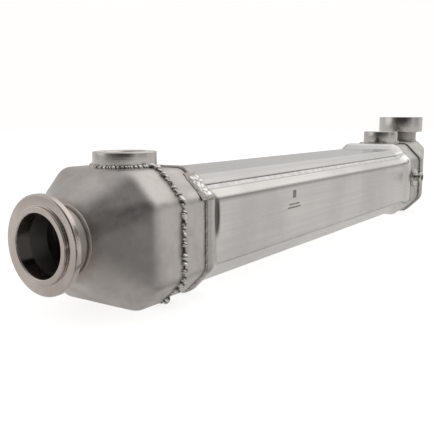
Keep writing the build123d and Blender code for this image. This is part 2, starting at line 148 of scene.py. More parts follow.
def bend(before, corner, after, radius, steps):
    """Points on the arc that rounds a 45-degree bend."""
    before, corner, after = (np.array(p, float) for p in (before, corner, after))
    back = (before - corner) / np.linalg.norm(before - corner)
    on = (after - corner) / np.linalg.norm(after - corner)
    reach = radius * math.tan(EIGHTH_TURN / 2)
    middle = (back + on) / np.linalg.norm(back + on)
    centre = corner + middle * radius / math.cos(EIGHTH_TURN / 2)
    first, last = corner + back * reach - centre, corner + on * reach - centre
    shares = [step / steps for step in range(steps + 1)]
    mixed = [first * math.sin((1 - s) * EIGHTH_TURN) + last * math.sin(s * EIGHTH_TURN) for s in shares]
    return [centre + m / math.sin(EIGHTH_TURN) for m in mixed]


def corners_of(section):
    """The eight corner points as (y, z), from the top bend at +Y, going round."""
    w, t, b, u, v, _ = section
    return [(w - u, t), (w, t - u), (w, b + v), (w - v, b), (v - w, b), (-w, b + v), (-w, t - u), (u - w, t)]


def walk(section, bend_steps=7, side_steps=7):
    """Closed (y, z) points round a section: each bend's arc, then points along each flat."""
    corner = corners_of(section)
    arcs = []
    for i in range(8):
        arcs.append(bend(corner[i - 1], corner[i], corner[(i + 1) % 8], section.radius, bend_steps))
    points = []
    for i, arc in enumerate(arcs):
        points += arc
        nxt = arcs[(i + 1) % 8][0]
        points += [arc[-1] + (nxt - arc[-1]) * k / side_steps for k in range(1, side_steps)]
    return np.array(points)


print("points round a section:", len(walk(hood)))

# %% [markdown]
# ## A skin with two faces
# Sheet metal shows its thickness at every cut edge. A skin is a grid of outer points and a grid
# of inner points, joined along the edges. A solidify modifier could do this too, but two grids
# keep the wall exact where the section changes.


# %% Skins
SHEET_CREASE = 35                    # degrees between faces, over which an edge stays sharp


def finish_mesh(name, points, faces, crease=SHEET_CREASE):
    """A smooth-shaded object whose sharp edges are those over the crease angle."""
    mesh = bpy.data.meshes.new(name)
    mesh.from_pydata([tuple(p) for p in points], [], faces)
    mesh.validate()
    mesh.update()
    mesh.shade_smooth()
    mesh.set_sharp_from_angle(angle=math.radians(crease))
    piece = bpy.data.objects.new(name, mesh)
    bpy.context.scene.collection.objects.link(piece)
    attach(piece, "root")
    return piece


def grid_faces(rows, columns, first, closed, flip):
    """Quads over a grid of points that starts at index first."""
    faces = []
    for r in range(rows - 1):
        for c in range(columns if closed else columns - 1):
            d = (c + 1) % columns
            a, b = first + r * columns, first + (r + 1) * columns
            quad = (a + c, a + d, b + d, b + c)
            faces.append(quad[::-1] if flip else quad)
    return faces


def skin(name, outer, inner, slot, closed=True, capped=False, crease=SHEET_CREASE):
    """A sheet from outer and inner rows of points. capped closes its far end with a wall."""
    outer, inner = np.array(outer), np.array(inner)
    rows, columns = outer.shape[:2]
    count = rows * columns
    faces = grid_faces(rows, columns, 0, closed, False) + grid_faces(rows, columns, count, closed, True)
    span = range(columns if closed else columns - 1)
    last = (rows - 1) * columns
    for c in span:
        d = (c + 1) % columns
        faces.append((count + c, count + d, d, c))
        if not capped:
            faces.append((last + c, last + d, count + last + d, count + last + c))
    if capped:
        faces.append(tuple(last + c for c in range(columns)))
        faces.append(tuple(count + last + c for c in reversed(range(columns))))
    if not closed:
        for r in range(rows - 1):
            a, b = r * columns, (r + 1) * columns
            faces.append((a, b, count + b, count + a))
            end_a, end_b = a + columns - 1, b + columns - 1
            faces.append((end_b, end_a, count + end_a, count + end_b))
    points = np.vstack([outer.reshape(-1, 3), inner.reshape(-1, 3)])
    return finish_mesh(name, points, faces, crease)


def row_at(x, yz):
    """Points of a section walk placed at a station."""
    return np.column_stack([np.full(len(yz), x), yz])


# %% [markdown]
# ## Hand-worked metal isn't flat
# Formed and welded sheet has slow waves a few tenths of a millimetre deep. They hardly show in
# the outline, but they bend the reflections, which is what makes sheet read as sheet. The
# waves only go inward, so no piece grows past its CAD size.


# %% Slow waves in the sheet
def waved(rows, section_rows, depth, size, seed):
    """Outer rows moved inward by smooth noise of the given depth and wave size."""
    moved = []
    for row, smaller in zip(rows, section_rows):
        out = []
        for p, q in zip(row, smaller):
            wave = noise.noise(Vector(p) / size + Vector((seed, seed * 2, 0)))
            share = depth * (0.5 + 0.5 * wave)
            direction = q - p
            length = np.linalg.norm(direction)
            out.append(p + direction / length * share if length else p)
        moved.append(np.array(out))
    return moved


def tube_rows(stations, wall, depth=0.3 * MM, size=45 * MM, seed=1.0):
    """Outer and inner rows for closed sections at stations, with waves in the outer face."""
    outer = [row_at(x, walk(section)) for x, section in stations]
    inner = [row_at(x, walk(grown(section, -wall))) for x, section in stations]
    return waved(outer, inner, depth, size, seed), inner


# %% [markdown]
# ## Front hood
# The hood is drawn from one sheet: round at the neck, then a steep taper that turns into the
# cut-corner skirt over a soft shoulder. The CAD has the same form in a few steps, and here the
# taper and the shoulder get many. The bends stay large near the neck, so it blends in softly.

# %% Front hood
neck_outer = 28.5 * MM               # radius of the inlet flange's neck
neck_radius = hood_wall + neck_outer
neck_cut = CUT_GROWTH * neck_radius  # this leg makes all eight sides equal
neck = Section(neck_radius, neck_radius, -neck_radius, neck_cut, neck_cut, 0.97 * neck_radius)
shoulder_radius = 14 * MM
neck_softness = 3.0                  # how long the taper keeps the neck's large bends
taper_length = 36 * MM
taper_rise = hood.half_width - neck_radius
taper_angle = math.atan2(taper_rise, taper_length)


def taper_section(share):
    """A section between neck and skirt. Its bends stay large near the neck."""
    bend_radius = blended(neck, hood, share**neck_softness).radius
    return blended(neck, hood, share)._replace(radius=bend_radius)


def front_hood_stations():
    """Stations from the neck along the taper, round the shoulder and along the skirt."""
    centre_x = hood_low.x + taper_length + shoulder_radius * math.tan(taper_angle / 2)
    tangent_x = centre_x - shoulder_radius * math.sin(taper_angle)
    tangent_drop = shoulder_radius * (1 - math.cos(taper_angle)) / taper_rise
    found = []
    for k in range(13):
        share = k / 12
        x = hood_low.x + (tangent_x - hood_low.x) * share
        found.append((x, taper_section((1 - tangent_drop) * share)))
    for k in range(1, 11):
        angle = taper_angle * (1 - k / 10)
        drop = shoulder_radius * (1 - math.cos(angle)) / taper_rise
        found.append((centre_x - shoulder_radius * math.sin(angle), taper_section(1 - drop)))
    for k in range(1, 9):
        found.append((centre_x + (front_skirt_x - centre_x) * k / 8, hood))
    return found


cut_top = 80 * MM                    # above every roof; cuts start at the gas axis


def cut_round(piece, x, radius):
    """Cut a vertical round hole through the roof of a piece."""
    middle = (x, 0, cut_top / 2)
    bpy.ops.mesh.primitive_cylinder_add(vertices=96, radius=radius, depth=cut_top, location=middle)
    cutter = bpy.context.object
    modifier = piece.modifiers.new("hole", "BOOLEAN")
    modifier.operation = "DIFFERENCE"
    modifier.object = cutter
    modifier.solver = "EXACT"
    bpy.context.view_layer.objects.active = piece
    bpy.ops.object.modifier_apply(modifier=modifier.name)
    bpy.data.objects.remove(cutter)
    piece.data.shade_smooth()
    piece.data.set_sharp_from_angle(angle=math.radians(SHEET_CREASE))


weld_size = 2 * MM
port_radius = (front_port_high.x - front_port_low.x) / 2
hood_rows = tube_rows(front_hood_stations(), hood_wall, seed=1.0)
front_hood = skin("front_hood_sheet", *hood_rows, "pickled_sheet")
cut_round(front_hood, front_port_x, port_radius + weld_size)
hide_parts("front_hood")
print("front hood points:", len(front_hood.data.vertices))

# %% [markdown]
# ## Rear hood
# The rear hood narrows toward its end like a wedge, so that the gas turns upward without a
# step. A wide soft shoulder starts the taper, its roof stays level under the outlet neck, and
# then every side rolls into the flat end wall.

# %% Rear hood
rear_skirt_length = 14 * MM
rear_shoulder_x = rear_low.x + rear_skirt_length
rear_shoulder_radius = 30 * MM
taper_end = Section(32 * MM, hood.top, -15 * MM, 12 * MM, 12 * MM, 10 * MM)
end_rounding = 7 * MM
roof_rounding = 16 * MM
narrowing = hood.half_width - taper_end.half_width
rear_taper_length = rear_high.x - rear_shoulder_x
rear_taper_angle = math.atan2(narrowing, rear_taper_length)


def under_roof(x, section, wall):
    """The section with its top lowered where the roof rounds into the end wall."""
    rounding = roof_rounding - wall
    into_end = max(0, x - (rear_high.x - roof_rounding))
    roof = hood.top - wall - rounding + math.sqrt(max(0, rounding**2 - into_end**2))
    return section._replace(top=min(section.top, roof))


def rear_hood_stations(wall=0.0):
    """Stations along the skirt, shoulder, taper and end rounding, one wall smaller for the inside."""
    centre_x = rear_shoulder_x - rear_shoulder_radius * math.tan(rear_taper_angle / 2)
    found = [(rear_low.x + (centre_x - rear_low.x) * k / 4, hood) for k in range(4)]
    for k in range(9):
        angle = rear_taper_angle * k / 8
        share = rear_shoulder_radius * (1 - math.cos(angle)) / narrowing
        found.append((centre_x + rear_shoulder_radius * math.sin(angle), blended(hood, taper_end, share)))
    start = found[-1][0]
    stop = rear_high.x - wall - (end_rounding - wall)
    for k in range(1, 22):
        x = start + (stop - start) * k / 22
        found.append((x, blended(hood, taper_end, (x - rear_shoulder_x) / rear_taper_length)))
    for k in range(11):
        angle = math.pi / 2 * k / 10
        x = rear_high.x - wall - (end_rounding - wall) * (1 - math.sin(angle))
        section = blended(hood, taper_end, (x - rear_shoulder_x) / rear_taper_length)
        found.append((x, grown(section, -(end_rounding - wall) * (1 - math.cos(angle)))))
    return [(x, under_roof(x, grown(section, -wall), wall)) for x, section in found]


outer = [row_at(x, walk(section)) for x, section in rear_hood_stations()]
inner = [row_at(x, walk(section)) for x, section in rear_hood_stations(hood_wall)]
outer = waved(outer, inner, 0.3 * MM, 45 * MM, 5.0)
rear_hood = skin("rear_hood_sheet", outer, inner, "pickled_sheet", capped=True)
outlet_radius = (neck_high.x - neck_low.x) / 2
neck_grip = 0.05 * MM                # the hole is this much tighter than the neck, so no gap shows
cut_round(rear_hood, rear_port_x, port_radius + weld_size)
cut_round(rear_hood, outlet_x, outlet_radius - neck_grip)
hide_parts("rear_hood")
print("rear hood points:", len(rear_hood.data.vertices))

# %% [markdown]
# ## Collars
# A collar is a short straight sleeve that joins the shell to a hood. The hood slips over one
# end and the shell's lip over the other. Each has a round hole under its coolant port.


# %% Collars
def sleeve(name, start, end, seed):
    """A straight sleeve between two stations."""
    stations = [(start + (end - start) * k / 12, collar) for k in range(13)]
    return skin(name, *tube_rows(stations, hood_wall, depth=0.2 * MM, seed=seed), "pickled_sheet")


port_bore = 17 * MM
front_collar = sleeve("front_collar_sheet", collar_low.x, collar_high.x, 7.0)
rear_collar = sleeve("rear_collar_sheet", rear_collar_low.x, rear_collar_high.x, 9.0)
cut_round(front_collar, front_port_x, port_bore)
cut_round(rear_collar, rear_port_x, port_bore)
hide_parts("front_collar")
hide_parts("rear_collar")
print("collars from", round(collar_low.x, 3), "to", round(rear_collar_high.x, 3))

# %% [markdown]
# ## Shell
# The long body is two formed sheets: a pan below and a cover above, with a seam along each
# upper cut. Both flare at their ends to slip over the collars. A seam line is a plane square to
# the cut, so it is known by z minus y, and it crosses every section of the flare.

# %% Shell stations and seams
lip_length = 6 * MM
flare_length = 18 * MM
seam_place = 0.43                    # share of the upper cut from its top bend to the cover's edge
seam_groove = 5.4 * MM               # from the cover's edge to the pan's, along the cut
top_bend = shell.top - (shell.half_width - shell.upper_cut)
cover_edge = top_bend - 2 * shell.upper_cut * seam_place
pan_edge = cover_edge - seam_groove * math.sqrt(2)


def shell_stations():
    """Stations over the front lip and flare, the straight body, and the same at the rear."""
    found = [(front_lip_x, lip), (front_lip_x + lip_length / 2, lip)]
    for k in range(17):
        share = k / 16
        eased = share * share * (3 - 2 * share)
        found.append((front_lip_x + lip_length + flare_length * share, blended(lip, shell, eased)))
    straight_start = found[-1][0]
    straight_end = rear_lip_x - lip_length - flare_length
    middle = [(straight_start + (straight_end - straight_start) * k / 44, shell) for k in range(1, 44)]
    rear = [(front_lip_x + rear_lip_x - x, section) for x, section in reversed(found)]
    return found + middle + rear


def seam_point(section, line, side):
    """Where a seam line crosses the section's upper cut, on side +1 or -1."""
    reach = section.half_width + section.top - section.upper_cut
    return np.array([side * (reach - line) / 2, (reach + line) / 2])


def part_walk(section, first, last, start, end, bend_steps=8, side_steps=6):
    """Open (y, z) points from start, round corners first to last, to end."""
    corner = corners_of(section)
    points = [np.array(start)]
    for i in range(first, last + 1):
        arc = bend(corner[i % 8 - 1], corner[i % 8], corner[(i + 1) % 8], section.radius, bend_steps)
        points += [points[-1] + (arc[0] - points[-1]) * k / side_steps for k in range(1, side_steps)]
        points += arc
    points += [points[-1] + (end - points[-1]) * k / side_steps for k in range(1, side_steps + 1)]
    return np.array(points)


def cover_walk(section):
    """Over the top, from the seam at -Y to the seam at +Y."""
    return part_walk(section, 7, 8, seam_point(section, cover_edge, -1), seam_point(section, cover_edge, 1))


def pan_walk(section):
    """Under the body, from the seam at +Y to the seam at -Y."""
    return part_walk(section, 1, 6, seam_point(section, pan_edge, 1), seam_point(section, pan_edge, -1))


# %% [markdown]
# The two sheets stop short of each other, which leaves a shallow groove along each upper cut
# for the seam. Each sheet is an open skin: its walk starts at one seam and ends at the other.


# %% Pan and cover
def shell_sheet(name, walk_round, seed, node):
    """One of the shell's two sheets, with thickness and slow waves."""
    stations = shell_stations()
    outer = [row_at(x, walk_round(section)) for x, section in stations]
    inner = [row_at(x, walk_round(grown(section, -shell_wall))) for x, section in stations]
    outer = waved(outer, inner, 0.35 * MM, 60 * MM, seed)
    sheet = skin(name, outer, inner, "mill_sheet", closed=False)
    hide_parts(node)
    return sheet


shell_cover = shell_sheet("shell_cover_sheet", cover_walk, 11.0, "shell_cover")
shell_pan = shell_sheet("shell_pan_sheet", pan_walk, 13.0, "shell_pan")
print("shell sheets:", len(shell_cover.data.vertices), len(shell_pan.data.vertices), "points")

# %% [markdown]
# ## Turned rings
# The flanges, ports and nipple come off a lathe, so each is a profile turned round an axis. A
# lathe hand breaks every sharp edge with a file, and that small round is what shines. The
# profile's corners are rounded here before it is turned.


# %% Turning
X_AXIS, Y_AXIS, Z_AXIS = (1, 0, 0), (0, 1, 0), (0, 0, 1)


def eased(profile, radius, steps=4):
    """A closed profile with each corner rounded."""
    points = [np.array(p, float) for p in profile]
    out = []
    for i, corner in enumerate(points):
        before, after = points[i - 1], points[(i + 1) % len(points)]
        reach = min(radius, 0.4 * np.linalg.norm(before - corner), 0.4 * np.linalg.norm(after - corner))
        a = corner + (before - corner) / np.linalg.norm(before - corner) * reach
        b = corner + (after - corner) / np.linalg.norm(after - corner) * reach
        for k in range(steps + 1):
            s = k / steps
            out.append(a * (1 - s) ** 2 + corner * 2 * s * (1 - s) + b * s**2)
    return out


def turned(name, profile, origin, axis, ease=0.35 * MM, around=144):
    """A ring from (along, radius) points turned round an axis through origin."""
    points_2d = eased(profile, ease)
    axis = Vector(axis)
    side = Vector((0, 1, 0)) if abs(axis.x) > 0.5 else Vector((1, 0, 0))
    other = axis.cross(side)
    points = []
    for k in range(around):
        angle = 2 * math.pi * k / around
        out = side * math.cos(angle) + other * math.sin(angle)
        points += [Vector(origin) + axis * p[0] + out * p[1] for p in points_2d]
    count = len(points_2d)
    faces = []
    for k in range(around):
        a, b = k * count, (k + 1) % around * count
        faces += [(a + i, b + i, b + (i + 1) % count, a + (i + 1) % count) for i in range(count)]
    return finish_mesh(name, points, faces, crease=28)


# %% [markdown]
# ## Inlet flange
# A clamp flange has a thin rim with a bevelled back, which a band clamp squeezes, and a raised
# ring that centres the mating flange. A shallow seat is turned between the ring and the bore.

# %% Inlet flange
rim_radius = flange_high.y
pilot_radius = 31 * MM
bore_radius = 25.5 * MM
rim_thickness = 5 * MM
bevel_angle = math.radians(20)
bevel_run = (rim_radius - neck_outer) * math.tan(bevel_angle)
inlet_profile = [
    (flange_low.x, bore_radius + 0.6 * MM), (flange_low.x, pilot_radius - 0.6 * MM),
    (flange_low.x + 0.6 * MM, pilot_radius), (-0.1 * MM, pilot_radius),
    (0, pilot_radius + 0.5 * MM), (0, rim_radius - 0.8 * MM), (0.8 * MM, rim_radius),
    (rim_thickness, rim_radius), (rim_thickness + bevel_run, neck_outer + 0.4 * MM),
    (rim_thickness + bevel_run + 2 * MM, neck_outer), (flange_high.x, neck_outer),
    (flange_high.x, bore_radius), (flange_low.x + 0.8 * MM, bore_radius),
]
inlet_flange = turned("inlet_clamp_flange", inlet_profile, (0, 0, 0), X_AXIS)
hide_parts("inlet_flange")
print("inlet flange rim radius", round(rim_radius, 4), "bore radius", bore_radius)

# %% [markdown]
# ## Coolant ports
# Each port is a thick plain ring with a bored hole and a lead-in chamfer, standing on a collar.


# %% Coolant ports
lead = 1.5 * MM                      # chamfer into each bore
edge_break = 0.8 * MM                # chamfer on the outer rims


def port_ring(name, low, high, node):
    """A bored ring between two heights."""
    x = (low.x + high.x) / 2
    height = high.z - low.z
    profile = [
        (0, port_bore), (height - lead, port_bore), (height, port_bore + lead),
        (height, port_radius - edge_break), (height - edge_break, port_radius), (0, port_radius),
    ]
    ring = turned(name, profile, (x, 0, low.z), Z_AXIS)
    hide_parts(node)


port_ring("front_port_ring", front_port_low, front_port_high, "front_coolant_port")
port_ring("rear_port_ring", rear_port_low, rear_port_high, "rear_coolant_port")
print("ports stand at", round(front_port_x, 4), "and", round(rear_port_x, 4))

# %% [markdown]
# ## Outlet flange and neck
# The outlet is a thick ring on a short tube. The tube sits in a socket inside the ring.

# %% Outlet flange and neck
outlet_height = outlet_high.z - outlet_low.z
outlet_rim = (outlet_high.x - outlet_low.x) / 2
socket_depth = neck_high.z - outlet_low.z
outlet_profile = [
    (0, outlet_radius), (socket_depth, outlet_radius), (socket_depth, bore_radius),
    (outlet_height - lead, bore_radius), (outlet_height, bore_radius + lead),
    (outlet_height, outlet_rim - edge_break), (outlet_height - edge_break, outlet_rim),
    (0.5 * MM, outlet_rim), (0, outlet_rim - 0.5 * MM),
]
outlet_foot = (outlet_x, 0, outlet_low.z)
outlet_flange = turned("outlet_flange_ring", outlet_profile, outlet_foot, Z_AXIS)
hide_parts("outlet_flange")
neck_height = neck_high.z - neck_low.z
neck_profile = [
    (0, bore_radius), (neck_height, bore_radius), (neck_height, outlet_radius), (0, outlet_radius),
]
outlet_neck = turned("outlet_neck_tube", neck_profile, (outlet_x, 0, neck_low.z), Z_AXIS)
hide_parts("outlet_neck")
print("outlet flange", round(outlet_rim * 2, 4), "across and", round(outlet_height, 4), "thick")

# %% [markdown]
# ## Vent nipple
# The nipple has a broad base, a narrow waist and a bead that holds a hose.

# %% Vent nipple
nipple_reach = nipple_high.y - nipple_low.y
nipple_base = (nipple_high.x - nipple_low.x) / 2
nipple_profile = [
    (0, 4.5 * MM), (0, nipple_base), (2.7 * MM, nipple_base), (3.5 * MM, nipple_base - 0.8 * MM),
    (3.7 * MM, 8 * MM), (4.6 * MM, 6.5 * MM), (nipple_reach - 4.4 * MM, 6.5 * MM),
    (nipple_reach - 3.2 * MM, 9 * MM), (nipple_reach - 1.2 * MM, 9 * MM), (nipple_reach, 7.6 * MM),
    (nipple_reach, 4.5 * MM),
]
nipple_foot = (nipple_x, nipple_high.y, 0)
toward_near_side = (0, -1, 0)
vent_nipple = turned(
    "vent_nipple_turned", nipple_profile, nipple_foot, toward_near_side, around=96,
)
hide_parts("vent_nipple")
print("vent nipple reaches", round(nipple_reach, 4))

# %% [markdown]
# ## Weld beads
# A bead is laid as a row of overlapping puddles. Each puddle freezes with a curved edge, so the
# bead looks like coins pushed over. A tube is swept along the joint and its size pulses once
# for each puddle; the pulse runs ahead in the middle, which curves the edges. Uneven hand speed
# is added as slow noise. A value called crest is kept at each point for the colour.

# %% Beads
Bead = namedtuple("Bead", "radius puddle ripple lumps seed")
bead_step = 0.42 * MM                # distance between the rings of points along a bead


def evenly(points, gap, closed=True):
    """A path resampled to an even spacing of about gap."""
    points = np.array(points, float)
    if closed:
        points = np.vstack([points, points[:1]])
    run = np.concatenate([[0], np.cumsum(np.linalg.norm(np.diff(points, axis=0), axis=1))])
    count = max(8, int(run[-1] / gap))
    marks = np.linspace(0, run[-1], count + 1)
    if closed:
        marks = marks[:-1]
    return np.column_stack([np.interp(marks, run, points[:, k]) for k in range(3)]), run[-1]


def bead(name, path, outward, kind, node, closed=True, around=14, flat=0.8, limit=None):
    """A rippled bead along a path. outward gives the direction it bulges in at a point."""
    points, length = evenly(path, bead_step, closed)
    count = len(points)
    puddles = max(3, round(length / kind.puddle))
    verts, crests = [], []
    for i, point in enumerate(points):
        if closed:
            ahead, behind = points[(i + 1) % count], points[i - 1]
        else:
            ahead, behind = points[min(i + 1, count - 1)], points[max(i - 1, 0)]
        along = Vector(ahead - behind).normalized()
        up = Vector(outward(point))
        up = (up - along * up.dot(along)).normalized()
        across = along.cross(up)
        place = Vector(point)
        uneven = 1 + kind.lumps * noise.noise(place / (5 * MM) + Vector((kind.seed, 0, 0)))
        uneven += 0.6 * kind.lumps * noise.noise(place / (2.2 * MM) + Vector((0, kind.seed, 0)))
        drift = 1.6 * kind.lumps * noise.noise(place / (7 * MM) + Vector((kind.seed, kind.seed, 0)))
        steps_from_end = min(i, count - 1 - i) + 0.5
        taper = 1.0 if closed else min(1, steps_from_end * bead_step / kind.radius) ** 0.5
        for k in range(around):
            angle = 2 * math.pi * k / around
            high, wide = math.cos(angle), math.sin(angle)
            phase = puddles * i / count + 0.4 * max(0, high) + kind.seed + drift
            crest = abs(math.sin(math.pi * phase)) ** 0.55
            size = kind.radius * uneven * taper * (1 - kind.ripple * (1 - crest))
            verts.append(place + up * high * size * flat + across * wide * size)
            crests.append(crest * 0.8 + 0.2 * (uneven - 0.7))
    if limit:
        verts = [limit(v) for v in verts]
    faces = grid_faces(count + 1 if closed else count, around, 0, True, False)
    total = count * around
    faces = [tuple(v % total for v in face) for face in faces]
    if not closed:
        faces.append(tuple(range(around)))
        faces.append(tuple(total - around + k for k in reversed(range(around))))
    piece = finish_mesh(name, verts, faces, crease=60)
    attribute = piece.data.attributes.new("crest", "FLOAT", "POINT")
    attribute.data.foreach_set("value", np.clip(np.array(crests, np.float32), 0, 1))
    if node:
        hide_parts(node)
    return piece


def inside_box(point):
    """The point kept within the cooler's overall width and depth."""
    return Vector((point.x, min(hood.half_width, point.y), max(point.z, hood.bottom)))


# %% [markdown]
# ### Beads round the body
# The lap beads fill the step between a skirt and its collar. They follow the section, so a walk
# round it is the path, and outward is square to the section, leaning along X. A coolant port
# stands in the way of each lap bead, so the bead is left open between the port's two sides.


# %% Lap and lip beads
def section_path(section, x):
    """A closed path round a section."""
    return row_at(x, walk(section))


def away_from(section, lean):
    """Outward at a point on a section, leaning toward +X by lean."""
    middle_z = (section.top + section.bottom) / 2
    flat = walk(section)

    def outward(point):
        i = int(np.argmin(np.linalg.norm(flat - point[1:], axis=1)))
        step = flat[(i + 1) % len(flat)] - flat[i - 1]
        normal = Vector((0, -step[1], step[0])).normalized()
        if normal.y * point[1] + normal.z * (point[2] - middle_z) < 0:
            normal = -normal
        return normal + Vector((lean, 0, 0))

    return outward


def lap_bead(name, edge_x, direction, kind, node, gap_x):
    """The bead between a skirt's edge and the collar, left open under a port."""
    section = grown(collar, 0.9 * MM)
    x = edge_x + direction * 0.7 * MM
    half_gap = math.sqrt((port_radius + weld_size) ** 2 - (x - gap_x) ** 2)
    path, _ = evenly(section_path(section, x), bead_step)
    under_port = (path[:, 2] > 0) & (abs(path[:, 1]) < half_gap)
    start = -int(np.argmax(under_port))
    path = np.roll(path, start, axis=0)[np.roll(~under_port, start)]
    outward = away_from(section, direction)
    return bead(name, path, outward, kind, node, closed=False, limit=inside_box, flat=0.9)


hand_laid = Bead(3.5 * MM, 5.0 * MM, 0.28, 0.75, 0.3)
neat = Bead(1.6 * MM, 2.2 * MM, 0.22, 0.3, 1.7)
front_lap = lap_bead("front_lap_bead", front_skirt_x, 1, hand_laid, "front_hood_weld", front_port_x)
rear_lap = lap_bead("rear_lap_bead", rear_skirt_x, -1, neat, "rear_hood_weld", rear_port_x)


def lip_bead(name, edge_x, direction, node, seed):
    """The fine bead where the shell's lip ends on a collar."""
    section = grown(collar, 0.4 * MM)
    path = section_path(section, edge_x + direction * 0.5 * MM)
    kind = Bead(0.95 * MM, 1.6 * MM, 0.18, 0.4, seed)
    bead(name, path, away_from(section, direction), kind, node, around=10)


lip_bead("front_lip_bead", front_lip_x, -1, "front_lip_weld", 2.1)
lip_bead("rear_lip_bead", rear_lip_x, 1, "rear_lip_weld", 3.3)
print("lap beads:", len(front_lap.data.vertices) + len(rear_lap.data.vertices), "points")

# %% [markdown]
# ### Beads round the rings
# A ring's bead follows a circle. The coolant ports stand half on the skirt and half on the
# collar, one wall lower, so their bead steps down where it crosses the skirt's edge.


# %% Ring beads
def circle_path(centre, radius, axis, height_at=None, steps=180):
    """A closed circle round an axis; height_at moves each point along it."""
    axis = Vector(axis)
    side = Vector((0, 1, 0)) if abs(axis.x) > 0.5 else Vector((1, 0, 0))
    other = axis.cross(side)
    points = []
    for k in range(steps):
        angle = 2 * math.pi * k / steps
        point = Vector(centre) + (side * math.cos(angle) + other * math.sin(angle)) * radius
        if height_at:
            point += axis * height_at(point)
        points.append(point)
    return [tuple(p) for p in points]


def from_axis(centre, axis, lean):
    """Outward from an axis, leaning along it."""
    centre, axis = Vector(centre), Vector(axis).normalized()

    def outward(point):
        offset = Vector(point) - centre
        return (offset - axis * offset.dot(axis)).normalized() + axis * lean

    return outward


def ring_bead(name, centre, radius, axis, lean, kind, node, height_at=None):
    """A bead on a circle round an axis through centre, bulging along the axis by lean."""
    path = circle_path(centre, radius, axis, height_at)
    bead(name, path, from_axis(centre, axis, lean), kind, node)


def port_bead(name, x, skirt_side, skirt_x, kind, node):
    """The bead round a coolant port's foot."""
    def height_at(point):
        onto_skirt = skirt_side * (point.x - skirt_x) / (2.5 * MM)
        return (hood.top - collar.top) * min(1, max(0, 0.5 + onto_skirt))

    foot = (x, 0, collar.top + 0.5 * MM)
    ring_bead(name, foot, port_radius + 0.7 * MM, Z_AXIS, 1.0, kind, node, height_at)


def roof_drop(point):
    """How far the hood's skin lies below its flat roof at a point round the outlet."""
    share = (point.x - rear_shoulder_x) / rear_taper_length
    section = under_roof(point.x, blended(hood, taper_end, share), 0.0)
    past_flat = abs(point.y) - (section.half_width - section.upper_cut - 2 * MM)
    return section.top - hood.top - max(0, past_flat) * 0.75


port_kind = Bead(2.3 * MM, 3.0 * MM, 0.34, 0.6, 4.2)
port_bead("front_port_bead", front_port_x, -1, front_skirt_x, port_kind, "front_port_weld")
port_bead("rear_port_bead", rear_port_x, 1, rear_skirt_x, port_kind._replace(seed=5.1), "rear_port_weld")
ring_bead(
    "inlet_neck_bead", (hood_low.x - 0.6 * MM, 0, 0), neck_outer + 0.9 * MM, X_AXIS, -1.0,
    Bead(1.7 * MM, 2.0 * MM, 0.07, 0.12, 6.4), "inlet_neck_weld",
)
ring_bead(
    "outlet_foot_bead", (outlet_x, 0, hood.top + 0.4 * MM), outlet_radius + 0.6 * MM, Z_AXIS, 1.0,
    Bead(2.1 * MM, 2.2 * MM, 0.25, 0.2, 7.7), "outlet_neck_weld", roof_drop,
)
ring_bead(
    "outlet_socket_bead", (outlet_x, 0, outlet_low.z - 0.4 * MM), outlet_radius + 0.5 * MM, Z_AXIS, -1.0,
    Bead(1.7 * MM, 2.0 * MM, 0.2, 0.2, 8.8), "outlet_flange_weld",
)
ring_bead(
    "nipple_bead", (nipple_x, nipple_high.y - 0.4 * MM, 0), nipple_base + 0.4 * MM, Y_AXIS, -1.0,
    Bead(1.4 * MM, 1.8 * MM, 0.22, 0.25, 9.9), "vent_nipple_weld",
)
print("ring beads done")

# %% [markdown]
# ### Seam beads
# The long seams are made by a machine that moves at a steady speed, so their ripple is fine and
# even. The bead is a shallow strip that lies in the groove between cover and pan.


# %% Seam strips
def seam_strip(name, side, node):
    """A shallow strip along the groove on one side, with a low crown and fine ripples."""
    across_steps = 8
    depth, crown, ripple = 0.75 * MM, 0.3 * MM, 0.05 * MM
    stations = shell_stations()
    dense = []
    for (x0, s0), (x1, s1) in zip(stations, stations[1:]):
        pieces = max(1, round((x1 - x0) / (1.5 * MM)))
        dense += [(x0 + (x1 - x0) * k / pieces, blended(s0, s1, k / pieces)) for k in range(pieces)]
    dense.append(stations[-1])
    outer, inner = [], []
    for x, section in dense:
        low, high = seam_point(section, pan_edge, side), seam_point(section, cover_edge, side)
        inward = np.array([-side, -1]) / math.sqrt(2)
        row, under = [], []
        for k in range(across_steps + 1):
            share = k / across_steps
            hump = crown * math.sin(math.pi * share)
            hump += ripple * math.sin(2 * math.pi * x / (3 * MM) + 2 * math.sin(math.pi * share))
            spot = low + (high - low) * share
            row.append(spot + inward * (depth - hump))
            under.append(spot + inward * shell_wall)
        order = 1 if side < 0 else -1
        outer.append(row_at(x, np.array(row[::order])))
        inner.append(row_at(x, np.array(under[::order])))
    strip = skin(name, outer, inner, "weld_bead", closed=False, crease=50)
    attribute = strip.data.attributes.new("crest", "FLOAT", "POINT")
    attribute.data.foreach_set("value", np.full(len(strip.data.vertices), 0.75, np.float32))
    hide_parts(node)
    return strip


near_seam = seam_strip("near_seam_strip", -1, "near_seam_weld")
seam_strip("far_seam_strip", 1, "far_seam_weld")
print("seam strips:", len(near_seam.data.vertices), "points each")

# %% [markdown]
# ### Built-up corners
# Where the front lip turns the upper corners, the welder has built up the joint with a patch of
# short, bright, spattered runs. The patch is a grid that climbs from the collar onto the lip and
# the start of the flare, and it is raised by cell noise.


